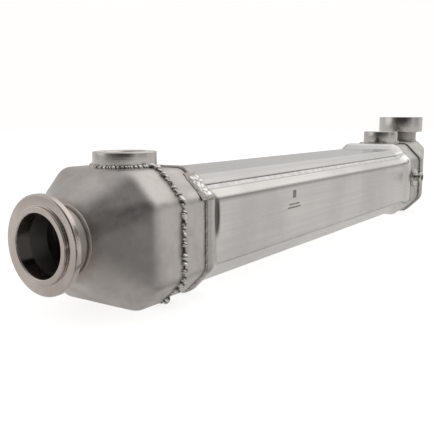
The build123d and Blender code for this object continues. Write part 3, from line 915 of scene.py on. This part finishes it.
# %% Corner patches
def corner_patches(name, length, height, node):
    """A lumpy patch of weld over both upper cuts, from the collar up onto the front lip."""
    along_steps, across_steps = 50, 90
    top_bend_line = lip.top - (lip.half_width - lip.upper_cut)
    top_line = top_bend_line - 10 * MM
    foot_line = top_bend_line - 2 * lip.upper_cut - 3 * MM
    toe = 6 * MM
    foot_section = grown(collar, 0.5 * MM)
    stations = shell_stations()
    xs = [x for x, _ in stations]
    points, faces, crests = [], [], []
    for side in (-1, 1):
        first = len(points)
        for r in range(along_steps + 1):
            u = r / along_steps
            for c in range(across_steps + 1):
                v = c / across_steps
                line = foot_line + (top_line - foot_line) * v
                edge = 0.22 * noise.noise(Vector((v * 7, side * 3, 0)))
                x = front_lip_x - toe * (1 + edge) + length * u * (0.85 + edge)
                j = min(len(xs) - 2, max(0, int(np.searchsorted(xs, x)) - 1))
                share = min(1, max(0, (x - xs[j]) / (xs[j + 1] - xs[j])))
                section = blended(stations[j][1], stations[j + 1][1], share)
                if x < front_lip_x:
                    section = blended(foot_section, lip, max(0, 1 - (front_lip_x - x) / toe))
                spot = seam_point(section, line, side)
                near = min(1, 4 * u, 6 * (1 - u)) * min(1, 9 * v, 4 * (1 - v))
                place = Vector((x, spot[0], spot[1]))
                cells = noise.voronoi(place / (6.0 * MM))[0]
                lump = min(1, max(0, cells[1] - cells[0]) * 2.2) ** 0.6
                grain = 0.5 + 0.5 * noise.noise(place / (1.1 * MM))
                raised = height * (near * (0.25 + 0.60 * lump + 0.15 * grain)) - 0.25 * MM
                points.append(inside_box(place + Vector((0, side, 1)).normalized() * raised))
                crests.append(min(1, near * (0.40 + 0.60 * lump)))
        for r in range(along_steps):
            for c in range(across_steps):
                a = first + r * (across_steps + 1) + c
                b = a + across_steps + 1
                quad = (a, a + 1, b + 1, b)
                faces.append(quad if side > 0 else quad[::-1])
    patch = finish_mesh(name, points, faces, crease=70)
    attribute = patch.data.attributes.new("crest", "FLOAT", "POINT")
    attribute.data.foreach_set("value", np.array(crests, np.float32))
    solid = patch.modifiers.new("thickness", "SOLIDIFY")
    solid.thickness = 0.5 * MM
    solid.offset = -1
    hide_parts(node)
    return patch


corner_patch = corner_patches("front_corner_patches", 22 * MM, 1.8 * MM, "front_corner_welds")
print("corner patches:", len(corner_patch.data.vertices), "points")

# %% [markdown]
# ## Finishes
# All of it is stainless steel, but no two parts have the same surface. The hoods and collars
# are blasted and pickled: grey, matt and mottled. The shell is bright mill sheet with a faint
# grain along its length. The rings carry fine lathe lines. The beads are shiny on their crests
# and dark in their valleys. One small helper wires nodes, so that each finish reads as a recipe.


# %% Node helpers
class Recipe:
    """A material under construction: adds nodes and links them."""

    def __init__(self, name):
        self.material = bpy.data.materials.new(name)
        self.material.use_nodes = True
        self.tree = self.material.node_tree
        self.tree.nodes.clear()
        self.shader = self.add("ShaderNodeBsdfPrincipled")
        self.shader.inputs["Metallic"].default_value = 1.0
        output = self.add("ShaderNodeOutputMaterial")
        self.tree.links.new(self.shader.outputs["BSDF"], output.inputs["Surface"])
        self.place = self.add("ShaderNodeTexCoord").outputs["Object"]

    def add(self, kind, **settings):
        node = self.tree.nodes.new(kind)
        for key, value in settings.items():
            setattr(node, key, value)
        return node

    def link(self, source, target):
        self.tree.links.new(source, target)

    def feed(self, node, key, value):
        """Set a socket from a number, a colour or another socket."""
        if isinstance(value, bpy.types.NodeSocket):
            self.link(value, node.inputs[key])
        else:
            node.inputs[key].default_value = value

    def stretched(self, x, y, z):
        """Object coordinates scaled differently along each axis."""
        node = self.add("ShaderNodeMapping")
        self.link(self.place, node.inputs["Vector"])
        node.inputs["Scale"].default_value = (x, y, z)
        return node.outputs["Vector"]

    def grain(self, scale, detail=3.0, roughness=0.55, place=None):
        """Noise from 0 to 1."""
        node = self.add("ShaderNodeTexNoise")
        self.link(place or self.place, node.inputs["Vector"])
        node.inputs["Scale"].default_value = scale
        node.inputs["Detail"].default_value = detail
        node.inputs["Roughness"].default_value = roughness
        return node.outputs["Fac"]

    def math(self, operation, a, b=0.0, clamp=False):
        node = self.add("ShaderNodeMath", operation=operation, use_clamp=clamp)
        self.feed(node, 0, a)
        self.feed(node, 1, b)
        return node.outputs[0]

    def remap(self, value, low, high, to_low=0.0, to_high=1.0, smooth=True):
        node = self.add("ShaderNodeMapRange")
        node.interpolation_type = "SMOOTHSTEP" if smooth else "LINEAR"
        self.link(value, node.inputs["Value"])
        for key, number in (("From Min", low), ("From Max", high), ("To Min", to_low), ("To Max", to_high)):
            node.inputs[key].default_value = number
        return node.outputs["Result"]

    def mix(self, share, first, second):
        """A colour between two others."""
        node = self.add("ShaderNodeMix", data_type="RGBA")
        self.feed(node, "Factor", share)
        for socket, value in ((node.inputs[6], first), (node.inputs[7], second)):
            if isinstance(value, bpy.types.NodeSocket):
                self.link(value, socket)
            else:
                socket.default_value = (*value, 1.0)
        return node.outputs[2]

    def axis(self, index):
        """One coordinate of the object's own space."""
        node = self.add("ShaderNodeSeparateXYZ")
        self.link(self.place, node.inputs[0])
        return node.outputs[index]

    def near_plane(self, value, where, width):
        """1 on a plane, falling to 0 at width from it."""
        gap = self.math("ABSOLUTE", self.math("SUBTRACT", value, where))
        return self.remap(gap, 0.0, width, 1.0, 0.0)

    def bump(self, height, distance, strength=1.0, normal=None):
        node = self.add("ShaderNodeBump")
        node.inputs["Strength"].default_value = strength
        node.inputs["Distance"].default_value = distance
        self.link(height, node.inputs["Height"])
        if normal:
            self.link(normal, node.inputs["Normal"])
        return node.outputs["Normal"]

    def done(self, colour, roughness, normal):
        self.feed(self.shader, "Base Color", colour)
        self.feed(self.shader, "Roughness", roughness)
        self.feed(self.shader, "Normal", normal)
        return self.material


# %% [markdown]
# ### Blasted and pickled sheet
# Pickling leaves clouds of lighter and darker grey a few centimetres wide, with small stains in
# them. Heat has tinted the sheet straw and brown beside each bead, and painted shade darkens a
# band of the rear collar just behind the shell's lip. The surface is a fine grain that scatters
# light, so it is rougher than the shell.


# %% Pickled sheet
def pickled_sheet(name, dark, light, heat_and_shade_planes):
    r = Recipe(name)
    clouds = r.remap(r.grain(22.0, 4.0, 0.6), 0.34, 0.68)
    stains = r.remap(r.grain(95.0, 5.0, 0.65), 0.38, 0.66)
    colour = r.mix(r.math("ADD", r.math("MULTIPLY", clouds, 0.75), 0.5, clamp=True), dark, light)
    colour = r.mix(r.math("MULTIPLY", stains, 0.22), colour, tuple(c * 0.72 for c in dark))
    along = r.axis(0)
    wander = r.math("MULTIPLY", r.math("SUBTRACT", r.grain(60.0), 0.5), 0.012)
    spread = r.math("ADD", along, wander)
    for where, width, tint, amount in heat_and_shade_planes:
        mask = r.math("MULTIPLY", r.near_plane(spread, where, width), amount)
        colour = r.mix(mask, colour, tint)
    both = r.math("ADD", r.math("MULTIPLY", clouds, 0.5), r.math("MULTIPLY", stains, 0.5))
    roughness = r.remap(both, 0.0, 1.0, 0.50, 0.38)
    scratches = r.grain(1.0, 2.0, 0.5, r.stretched(900.0, 60.0, 60.0))
    normal = r.bump(r.grain(2600.0, 2.0), 0.00006, 0.5)
    normal = r.bump(scratches, 0.00004, 0.35, normal)
    normal = r.bump(r.grain(120.0, 3.0), 0.0004, 0.35, normal)
    return r.done(colour, roughness, normal)


heat_brown = (0.27, 0.215, 0.175)
heat_dark = (0.10, 0.088, 0.08)
front_planes = [
    (front_skirt_x, 10 * MM, heat_brown, 0.45), (front_skirt_x, 7.0 * MM, heat_dark, 0.85),
    (hood_low.x, 7 * MM, heat_brown, 0.5), (front_lip_x, 5 * MM, heat_brown, 0.4),
]
rear_planes = [
    (rear_skirt_x, 9 * MM, heat_brown, 0.4), (rear_skirt_x, 3.2 * MM, heat_dark, 0.25),
    # painted shade: the dark band on the rear collar just behind the shell's lip
    (rear_lip_x + 3 * MM, 9 * MM, heat_dark, 0.6),
]
pickled_front = pickled_sheet("pickled_front", (0.40, 0.372, 0.355), (0.58, 0.548, 0.53), front_planes)
pickled_rear = pickled_sheet("pickled_rear", (0.38, 0.355, 0.335), (0.56, 0.53, 0.505), rear_planes)
print("heat tint planes:", len(front_planes) + len(rear_planes))

# %% [markdown]
# ### Mill sheet
# Rolled stainless has grain along the rolling direction. Noise stretched a hundredfold along
# the shell makes the streaks, and a little of it goes into colour, roughness and bump alike.
# A painted highlight lightens the upper corners of the rear flare, whose roughness is also
# lowered there, and painted shade darkens the near side of the hollow behind the front lip. The
# top and the upper cuts are painted darker than the sides as shade, and a painted dark reflection
# marks the lower fold of each upper cut. A plain etched block and two bars stand where a maker
# would mark the part.


# %% Mill sheet
fold_at = top_bend - 2 * shell.upper_cut        # the lower bend of the upper cut
shade_at = (front_lip_x + 20.5 * MM, 10 * MM)   # X and Z of the middle of the painted shade


def mill_sheet(name, base, painted_highlight_planes, tints, mark):
    r = Recipe(name)
    streaks = r.grain(1.0, 4.0, 0.6, r.stretched(3.0, 420.0, 420.0))
    fine = r.grain(1.0, 2.0, 0.5, r.stretched(14.0, 2600.0, 2600.0))
    clouds = r.remap(r.grain(9.0, 3.0, 0.5), 0.3, 0.7)
    light = tuple(min(1, c * 1.13) for c in base)
    dark = tuple(c * 0.86 for c in base)
    colour = r.mix(clouds, dark, light)
    colour = r.mix(r.remap(streaks, 0.35, 0.65, 0.0, 0.35), colour, dark)
    specks = r.remap(r.grain(260.0, 2.0, 0.7), 0.70, 0.76)
    colour = r.mix(r.math("MULTIPLY", specks, 0.35), colour, tuple(c * 0.5 for c in base))
    along = r.axis(0)
    roughness = r.remap(r.math("ADD", streaks, r.math("MULTIPLY", clouds, 0.3)), 0.3, 1.0, 0.24, 0.36)
    upper = r.remap(r.axis(2), 12 * MM, 34 * MM)
    # painted highlight: the colour is lightened on the upper corners near each plane, and the roughness
    # lowered there
    for where, width in painted_highlight_planes:
        near = r.math("MULTIPLY", r.near_plane(along, where, width), upper)
        colour = r.mix(r.math("MULTIPLY", near, 0.8), colour, (0.93, 0.925, 0.915))
        roughness = r.math("SUBTRACT", roughness, r.math("MULTIPLY", near, 0.14))
    for where, width, tint, amount in tints:
        colour = r.mix(r.math("MULTIPLY", r.near_plane(along, where, width), amount), colour, tint)
    x_mark, z_mark, half_x, bars = mark
    y, z = r.axis(1), r.axis(2)
    line = r.math("SUBTRACT", z, r.math("ABSOLUTE", y))
    past_front = r.remap(along, front_lip_x + 12 * MM, front_lip_x + 26 * MM)
    before_rear = r.remap(along, rear_lip_x - 26 * MM, rear_lip_x - 14 * MM, 1.0, 0.0)
    straight = r.math("MULTIPLY", past_front, before_rear)
    for where, amount in ((cover_edge, 0.80), (pan_edge, 0.45)):
        edge = r.math("MULTIPLY", r.near_plane(line, where, 2.6 * MM), straight)
        colour = r.mix(r.math("MULTIPLY", edge, amount), colour, heat_dark)
    # painted shade in the hollow behind the front lip, on the near side only
    shade_x, shade_z = shade_at
    shade = r.math("MULTIPLY", r.near_plane(along, shade_x, 9 * MM), r.near_plane(z, shade_z, 28 * MM))
    shade = r.math("MULTIPLY", r.remap(shade, 0.0, 0.5), r.math("LESS_THAN", y, -50 * MM))
    colour = r.mix(r.math("MULTIPLY", shade, 0.95), colour, (0.05, 0.03, 0.028))
    facing = r.math("LESS_THAN", y, -55 * MM)
    # painted shade: the top of the shell is painted darker than the sides
    colour = r.mix(r.remap(z, 40 * MM, 44 * MM, 0.0, 0.55), colour, (0.40, 0.395, 0.39))
    # painted shade: the upper cuts above the seam are painted darker than the sides
    above_seam = r.remap(line, pan_edge - 2 * MM, pan_edge)
    cut = r.math("MULTIPLY", above_seam, r.remap(z, 42 * MM, 44 * MM, 1.0, 0.0))
    colour = r.mix(r.math("MULTIPLY", r.math("MULTIPLY", cut, straight), 0.35), colour, (0.33, 0.325, 0.32))
    # painted reflection: a dark line along the lower fold of each upper cut
    fold = r.math("MULTIPLY", r.near_plane(line, fold_at, 5 * MM), straight)
    colour = r.mix(r.math("MULTIPLY", fold, 0.6), colour, (0.17, 0.16, 0.15))
    ink = None
    for bar_z, bar_half, half in bars:
        inside = r.math("LESS_THAN", r.math("ABSOLUTE", r.math("SUBTRACT", z, z_mark + bar_z)), bar_half)
        width = r.math("LESS_THAN", r.math("ABSOLUTE", r.math("SUBTRACT", along, x_mark)), half_x * half)
        bar = r.math("MULTIPLY", inside, width)
        ink = bar if ink is None else r.math("MAXIMUM", ink, bar)
    etched = r.remap(r.grain(700.0, 2.0), 0.30, 0.55, 0.35, 0.9)
    ink = r.math("MULTIPLY", r.math("MULTIPLY", ink, facing), etched)
    colour = r.mix(ink, colour, (0.10, 0.085, 0.07))
    normal = r.bump(fine, 0.00003, 0.35)
    normal = r.bump(streaks, 0.00010, 0.30, normal)
    return r.done(colour, roughness, normal)


mark_bars = [(0.0, 4.2 * MM, 0.32), (-11 * MM, 0.8 * MM, 1.0), (-14.5 * MM, 0.8 * MM, 1.25)]
mill = mill_sheet(
    "mill_sheet", (0.595, 0.583, 0.565),
    # the painted highlight on the upper corners of the rear flare
    [(rear_lip_x - 9 * MM, 16 * MM)],
    [(front_lip_x + 3 * MM, 12 * MM, (0.30, 0.275, 0.25), 0.7), (front_lip_x, 1.8 * MM, heat_dark, 0.5)],
    (297 * MM, 14 * MM, 12 * MM, mark_bars),
)
print("mill sheet ready")

# %% [markdown]
# ### Turned steel
# Lathe lines circle the part's axis. Distance from the axis plus distance along it is the same
# all the way round, so noise in that one number draws rings on faces and on sides alike.


# %% Turned steel
def turned_steel(name, axis, centre, base, rough, dull_from=None):
    """Fine lines round an axis, 0 for X, 1 for Y, 2 for Z. Past dull_from the metal is blasted."""
    r = Recipe(name)
    shifted = r.add("ShaderNodeVectorMath", operation="SUBTRACT")
    r.link(r.place, shifted.inputs[0])
    shifted.inputs[1].default_value = centre
    parts = r.add("ShaderNodeSeparateXYZ")
    r.link(shifted.outputs[0], parts.inputs[0])
    others = [k for k in range(3) if k != axis]
    squares = [r.math("MULTIPLY", parts.outputs[k], parts.outputs[k]) for k in others]
    radius = r.math("SQRT", r.math("ADD", *squares))
    line = r.math("ADD", radius, parts.outputs[axis])
    tracks = r.add("ShaderNodeTexNoise", noise_dimensions="1D")
    r.link(line, tracks.inputs["W"])
    tracks.inputs["Scale"].default_value = 2300.0
    tracks.inputs["Detail"].default_value = 3.0
    tracks = tracks.outputs["Fac"]
    broad = r.add("ShaderNodeTexNoise", noise_dimensions="1D")
    r.link(line, broad.inputs["W"])
    broad.inputs["Scale"].default_value = 320.0
    smear = r.remap(r.grain(40.0, 4.0, 0.6), 0.35, 0.68)
    colour = r.mix(smear, tuple(c * 0.88 for c in base), tuple(min(1, c * 1.06) for c in base))
    colour = r.mix(r.remap(tracks, 0.35, 0.7, 0.0, 0.28), colour, tuple(c * 0.66 for c in base))
    bands = r.remap(broad.outputs["Fac"], 0.45, 0.7, 0.0, 0.22)
    colour = r.mix(bands, colour, tuple(c * 0.75 for c in base))
    roughness = r.remap(r.math("ADD", tracks, smear), 0.4, 1.5, rough - 0.06, rough + 0.08)
    if dull_from:
        dull = r.remap(parts.outputs[axis], dull_from, dull_from + 3 * MM)
        colour = r.mix(dull, colour, (0.43, 0.40, 0.38))
        roughness = r.math("ADD", roughness, r.math("MULTIPLY", dull, 0.26))
    normal = r.bump(tracks, 0.00004, 0.45)
    normal = r.bump(r.grain(1800.0, 2.0), 0.00002, 0.3, normal)
    return r.done(colour, roughness, normal)


steel = (0.57, 0.54, 0.515)
flange_finish = turned_steel("turned_inlet", 0, (0, 0, 0), (0.60, 0.535, 0.50), 0.20, dull_from=9 * MM)
front_port_finish = turned_steel("turned_front_port", 2, (front_port_x, 0, 0), steel, 0.13)
rear_port_finish = turned_steel("turned_rear_port", 2, (rear_port_x, 0, 0), steel, 0.13)
outlet_finish = turned_steel("turned_outlet", 2, (outlet_x, 0, 0), (0.60, 0.565, 0.54), 0.14)
nipple_finish = turned_steel("turned_nipple", 1, (nipple_x, 0, 0), steel, 0.18)
neck_finish = turned_steel("drawn_neck", 2, (outlet_x, 0, 0), (0.46, 0.425, 0.40), 0.34)
print("turned finishes ready")

# %% [markdown]
# ### Weld metal
# The crest value made with each bead drives this finish: bright and smooth on top, brown and
# dull in the valleys where oxide stays.


# %% Weld metal
def weld_metal(name, valley, crest_colour, low_rough, high_rough):
    r = Recipe(name)
    crest = r.add("ShaderNodeAttribute", attribute_name="crest").outputs["Fac"]
    speckle = r.grain(900.0, 3.0, 0.6)
    level = r.math("ADD", crest, r.math("MULTIPLY", r.math("SUBTRACT", speckle, 0.5), 0.4))
    share = r.remap(level, 0.34, 0.84)
    patches = r.remap(r.grain(120.0, 3.0), 0.35, 0.65)
    bright = r.mix(patches, tuple(c * 0.80 for c in crest_colour), crest_colour)
    colour = r.mix(share, valley, bright)
    roughness = r.remap(share, 0.0, 1.0, high_rough, low_rough)
    normal = r.bump(speckle, 0.00012, 0.5)
    return r.done(colour, roughness, normal)


weld = weld_metal("weld_metal", (0.075, 0.063, 0.057), (0.74, 0.71, 0.69), 0.22, 0.5)
bright_weld = weld_metal("bright_weld_metal", (0.42, 0.385, 0.36), (0.98, 0.97, 0.96), 0.38, 0.5)
seam_metal = weld_metal("seam_metal", (0.40, 0.39, 0.38), (0.66, 0.655, 0.64), 0.30, 0.4)
fine_weld = weld_metal("fine_weld_metal", (0.20, 0.18, 0.165), (0.62, 0.60, 0.58), 0.24, 0.45)
print("weld metals ready")

# %% [markdown]
# ### Inside metal
# Header plates, tubes and baffles are seen only through the bores. They are dull steel with a
# thin brown haze.


# %% Inside metal
def inside_metal(name, base):
    r = Recipe(name)
    haze = r.remap(r.grain(70.0, 4.0, 0.6), 0.35, 0.7)
    colour = r.mix(haze, tuple(c * 0.7 for c in base), base)
    roughness = r.remap(haze, 0.0, 1.0, 0.55, 0.42)
    return r.done(colour, roughness, r.bump(r.grain(1500.0, 2.0), 0.00004, 0.5))


tube_metal = inside_metal("tube_metal", (0.30, 0.29, 0.275))
plate_metal = inside_metal("plate_metal", (0.34, 0.33, 0.31))


def dress(piece, material):
    """Give a piece one material."""
    piece.data.materials.clear()
    piece.data.materials.append(material)


finishes = {
    pickled_front: ["front_hood_sheet", "front_collar_sheet", "inlet_neck_bead"],
    pickled_rear: ["rear_hood_sheet", "rear_collar_sheet"],
    mill: ["shell_cover_sheet", "shell_pan_sheet"],
    flange_finish: ["inlet_clamp_flange"],
    front_port_finish: ["front_port_ring"],
    rear_port_finish: ["rear_port_ring"],
    outlet_finish: ["outlet_flange_ring"],
    nipple_finish: ["vent_nipple_turned"],
    neck_finish: ["outlet_neck_tube"],
    bright_weld: ["front_corner_patches"],
    seam_metal: ["near_seam_strip", "far_seam_strip"],
}
for material, names in finishes.items():
    for piece_name in names:
        dress(bpy.data.objects[piece_name], material)
beads = [o for o in bpy.data.objects if o.name.endswith("_bead") and not o.data.materials]
fine = ("front_lip_bead", "rear_lip_bead", "rear_lap_bead", "nipple_bead")
for piece in beads:
    dress(piece, fine_weld if piece.name in fine else weld)
for node_name, node in frame["nodes"].items():
    if node_name.startswith("gas_tubes"):
        dress(node, tube_metal)
    elif node_name.startswith("baffle") or node_name.endswith("header_plate"):
        dress(node, plate_metal)
print("dressed", len(beads), "beads")

# %% [markdown]
# ## Studio
# Bright metal shows the room more than itself, so the room is where its tones are made. It is
# a pale tent that is unlit on the camera's side. That dark part gives the hood's taper its
# depth and draws the dark stripe down every turned ring, as a black flag does in a real
# studio. A small flag beyond the far end draws dark lines along the shell's bends, and a
# softbox above brightens the cut corners. A second softbox and a half-lit gap, one on each side
# of the dark part, give the turned rings a bright edge and a duller one.

# %% Room
Patch = namedtuple("Patch", "turn rise inner outer level")


def heading(turn, rise):
    """A direction from its turn round Z, counted from +X, and its rise, both in degrees."""
    turn, rise = math.radians(turn), math.radians(rise)
    return (math.cos(turn) * math.cos(rise), math.sin(turn) * math.cos(rise), math.sin(rise))


room_patches = [
    Patch(343, 52, 20, 50, 1.25),    # softbox over the far end
    Patch(205, 14, 22, 72, 0.07),    # the unlit camera side
    Patch(318, 21, 6, 15, 0.12),     # small flag beyond the far end
    Patch(128, 14, 10, 28, 1.15),    # softbox on the far front side
    Patch(288, 5, 8, 26, 0.42),      # half-lit gap on the near side
]
world = bpy.data.worlds.new("studio")
world.use_nodes = True
bpy.context.scene.world = world
tree = world.node_tree
background = tree.nodes["Background"]
direction = tree.nodes.new("ShaderNodeTexCoord").outputs["Generated"]


def world_math(operation, a, b):
    node = tree.nodes.new("ShaderNodeMath")
    node.operation = operation
    for socket, value in zip(node.inputs, (a, b)):
        if isinstance(value, bpy.types.NodeSocket):
            tree.links.new(value, socket)
        else:
            socket.default_value = value
    return node.outputs[0]


level = 0.72                         # the tent where no patch covers it
for patch in room_patches:
    dot = tree.nodes.new("ShaderNodeVectorMath")
    dot.operation = "DOT_PRODUCT"
    tree.links.new(direction, dot.inputs[0])
    dot.inputs[1].default_value = heading(patch.turn, patch.rise)
    mask = tree.nodes.new("ShaderNodeMapRange")
    mask.interpolation_type = "SMOOTHSTEP"
    tree.links.new(dot.outputs["Value"], mask.inputs["Value"])
    mask.inputs["From Min"].default_value = math.cos(math.radians(patch.outer))
    mask.inputs["From Max"].default_value = math.cos(math.radians(patch.inner))
    away = world_math("SUBTRACT", 1.0, mask.outputs["Result"])
    inside = world_math("MULTIPLY", mask.outputs["Result"], patch.level)
    level = world_math("ADD", world_math("MULTIPLY", level, away), inside)
print("room patches:", len(room_patches))

# %% [markdown]
# Only reflections see the patches. The camera itself sees a plain white backdrop, and the
# floor is lit by an even white sky and one straight lamp without a shadow, which keeps the
# shadow under the cooler faint and soft. What the metal reflects of the floor is dark before
# the front end and far beyond it, and a painted shadow lies in a strip along the cooler's near
# side.

# %% Backdrop and floor
rays = tree.nodes.new("ShaderNodeLightPath")
plain = world_math("MULTIPLY", rays.outputs["Is Diffuse Ray"], 0.42)
plain = world_math("ADD", plain, rays.outputs["Is Camera Ray"])
shiny = world_math("MULTIPLY", rays.outputs["Is Glossy Ray"], level)
tree.links.new(world_math("ADD", plain, shiny), background.inputs["Strength"])
background.inputs["Color"].default_value = (1.0, 0.99, 0.975, 1.0)

floor_mesh = bpy.data.meshes.new("floor")
floor_mesh.from_pydata([(-8, -8, 0), (8, -8, 0), (8, 8, 0), (-8, 8, 0)], [], [(0, 1, 2, 3)])
floor = bpy.data.objects.new("floor", floor_mesh)
bpy.context.scene.collection.objects.link(floor)
floor.location.z = cad_box[0][2]
paper = Recipe("floor_white")
paper.shader.inputs["Metallic"].default_value = 0.0
paper.shader.inputs["Specular IOR Level"].default_value = 0.0
paper.shader.inputs["Roughness"].default_value = 0.9
shifted = paper.add("ShaderNodeVectorMath", operation="SUBTRACT")
paper.link(paper.place, shifted.inputs[0])
unlit_centre = (-300 * MM, -300 * MM, 0.0)
shifted.inputs[1].default_value = unlit_centre
reach = paper.add("ShaderNodeVectorMath", operation="LENGTH")
paper.link(shifted.outputs[0], reach.inputs[0])
unlit = paper.remap(reach.outputs["Value"], 0.12, 0.55, 1.0, 0.0)
beyond = paper.remap(paper.axis(0), -1.8, -0.5, 0.75, 0.0)
unlit = paper.math("MAXIMUM", unlit, beyond)
reflected = paper.mix(unlit, (0.68, 0.675, 0.665), (0.10, 0.095, 0.09))
# painted shadow: a dark strip in the floor's reflected colour along the cooler's near side
strip = paper.near_plane(paper.axis(1), pan_low.y - 11 * MM, 10 * MM)
reflected = paper.mix(paper.math("MULTIPLY", strip, 0.85), reflected, (0.06, 0.058, 0.055))
seen = paper.mix(paper.grain(3.0), (0.93, 0.93, 0.93), (0.95, 0.95, 0.95))
shiny_ray = paper.add("ShaderNodeLightPath").outputs["Is Glossy Ray"]
paper.feed(paper.shader, "Base Color", paper.mix(shiny_ray, seen, reflected))
floor.data.materials.append(paper.material)
bpy.context.scene.view_settings.view_transform = "Standard"

overhead_data = bpy.data.lights.new("overhead_lamp", "SUN")
overhead_data.energy = 2.35
overhead_data.use_shadow = False
overhead = bpy.data.objects.new("overhead_lamp", overhead_data)
overhead.visible_glossy = False
bpy.context.scene.collection.objects.link(overhead)
print("floor at", round(floor.location.z, 4))

# %% [markdown]
# A little light finds its way into the inlet, and shows the far wall of the bore.

# %% Light in the bore
bore_data = bpy.data.lights.new("bore_light", "AREA")
bore_data.shape = "DISK"
bore_data.size = 0.05
bore_data.energy = 0.0005
bore_data.color = (0.93, 1.0, 0.95)
bore_light = bpy.data.objects.new("bore_light", bore_data)
bore_light.location = (0.034, -0.012, 0.0)
bore_light.rotation_euler = Vector((0.2, -1.0, 0.0)).to_track_quat("Z", "Y").to_euler()
bore_light.visible_camera = False
bpy.context.scene.collection.objects.link(bore_light)
print("lights:", len(bpy.data.lights))

# %% [markdown]
# ## Camera
# The camera stands to the front left, a little above the gas axis, and looks along the cooler.
# Its place is counted in inlet flange diameters from the flange's centre, so it would follow a
# cooler of another size.

# %% Camera
flange_diameter = flange_high.y - flange_low.y
camera_data = bpy.data.cameras.new("camera")
camera_data.lens = 50.48
camera_data.sensor_width = 36.0
camera_data.clip_start = 0.01
camera = bpy.data.objects.new("camera", camera_data)
azimuth, elevation, roll = math.radians(-55.24), math.radians(9.12), math.radians(-0.21)
level_part = math.cos(elevation)
backward = Vector((math.sin(azimuth) * level_part, -math.cos(azimuth) * level_part, math.sin(elevation)))
camera.location = Vector((-3.712, -4.632, 1.183)) * flange_diameter
turn = backward.to_track_quat("Z", "Y").to_matrix() @ Matrix.Rotation(roll, 3, "Z")
camera.rotation_euler = turn.to_euler()
bpy.context.scene.collection.objects.link(camera)
bpy.context.scene.camera = camera
print("camera at", [round(v, 4) for v in camera.location])

# %% [markdown]
# ## The size
# The dressed cooler must be as large as the CAD one; the CAD box is printed here.

# %% Finish
print("CAD   ", cad_box)
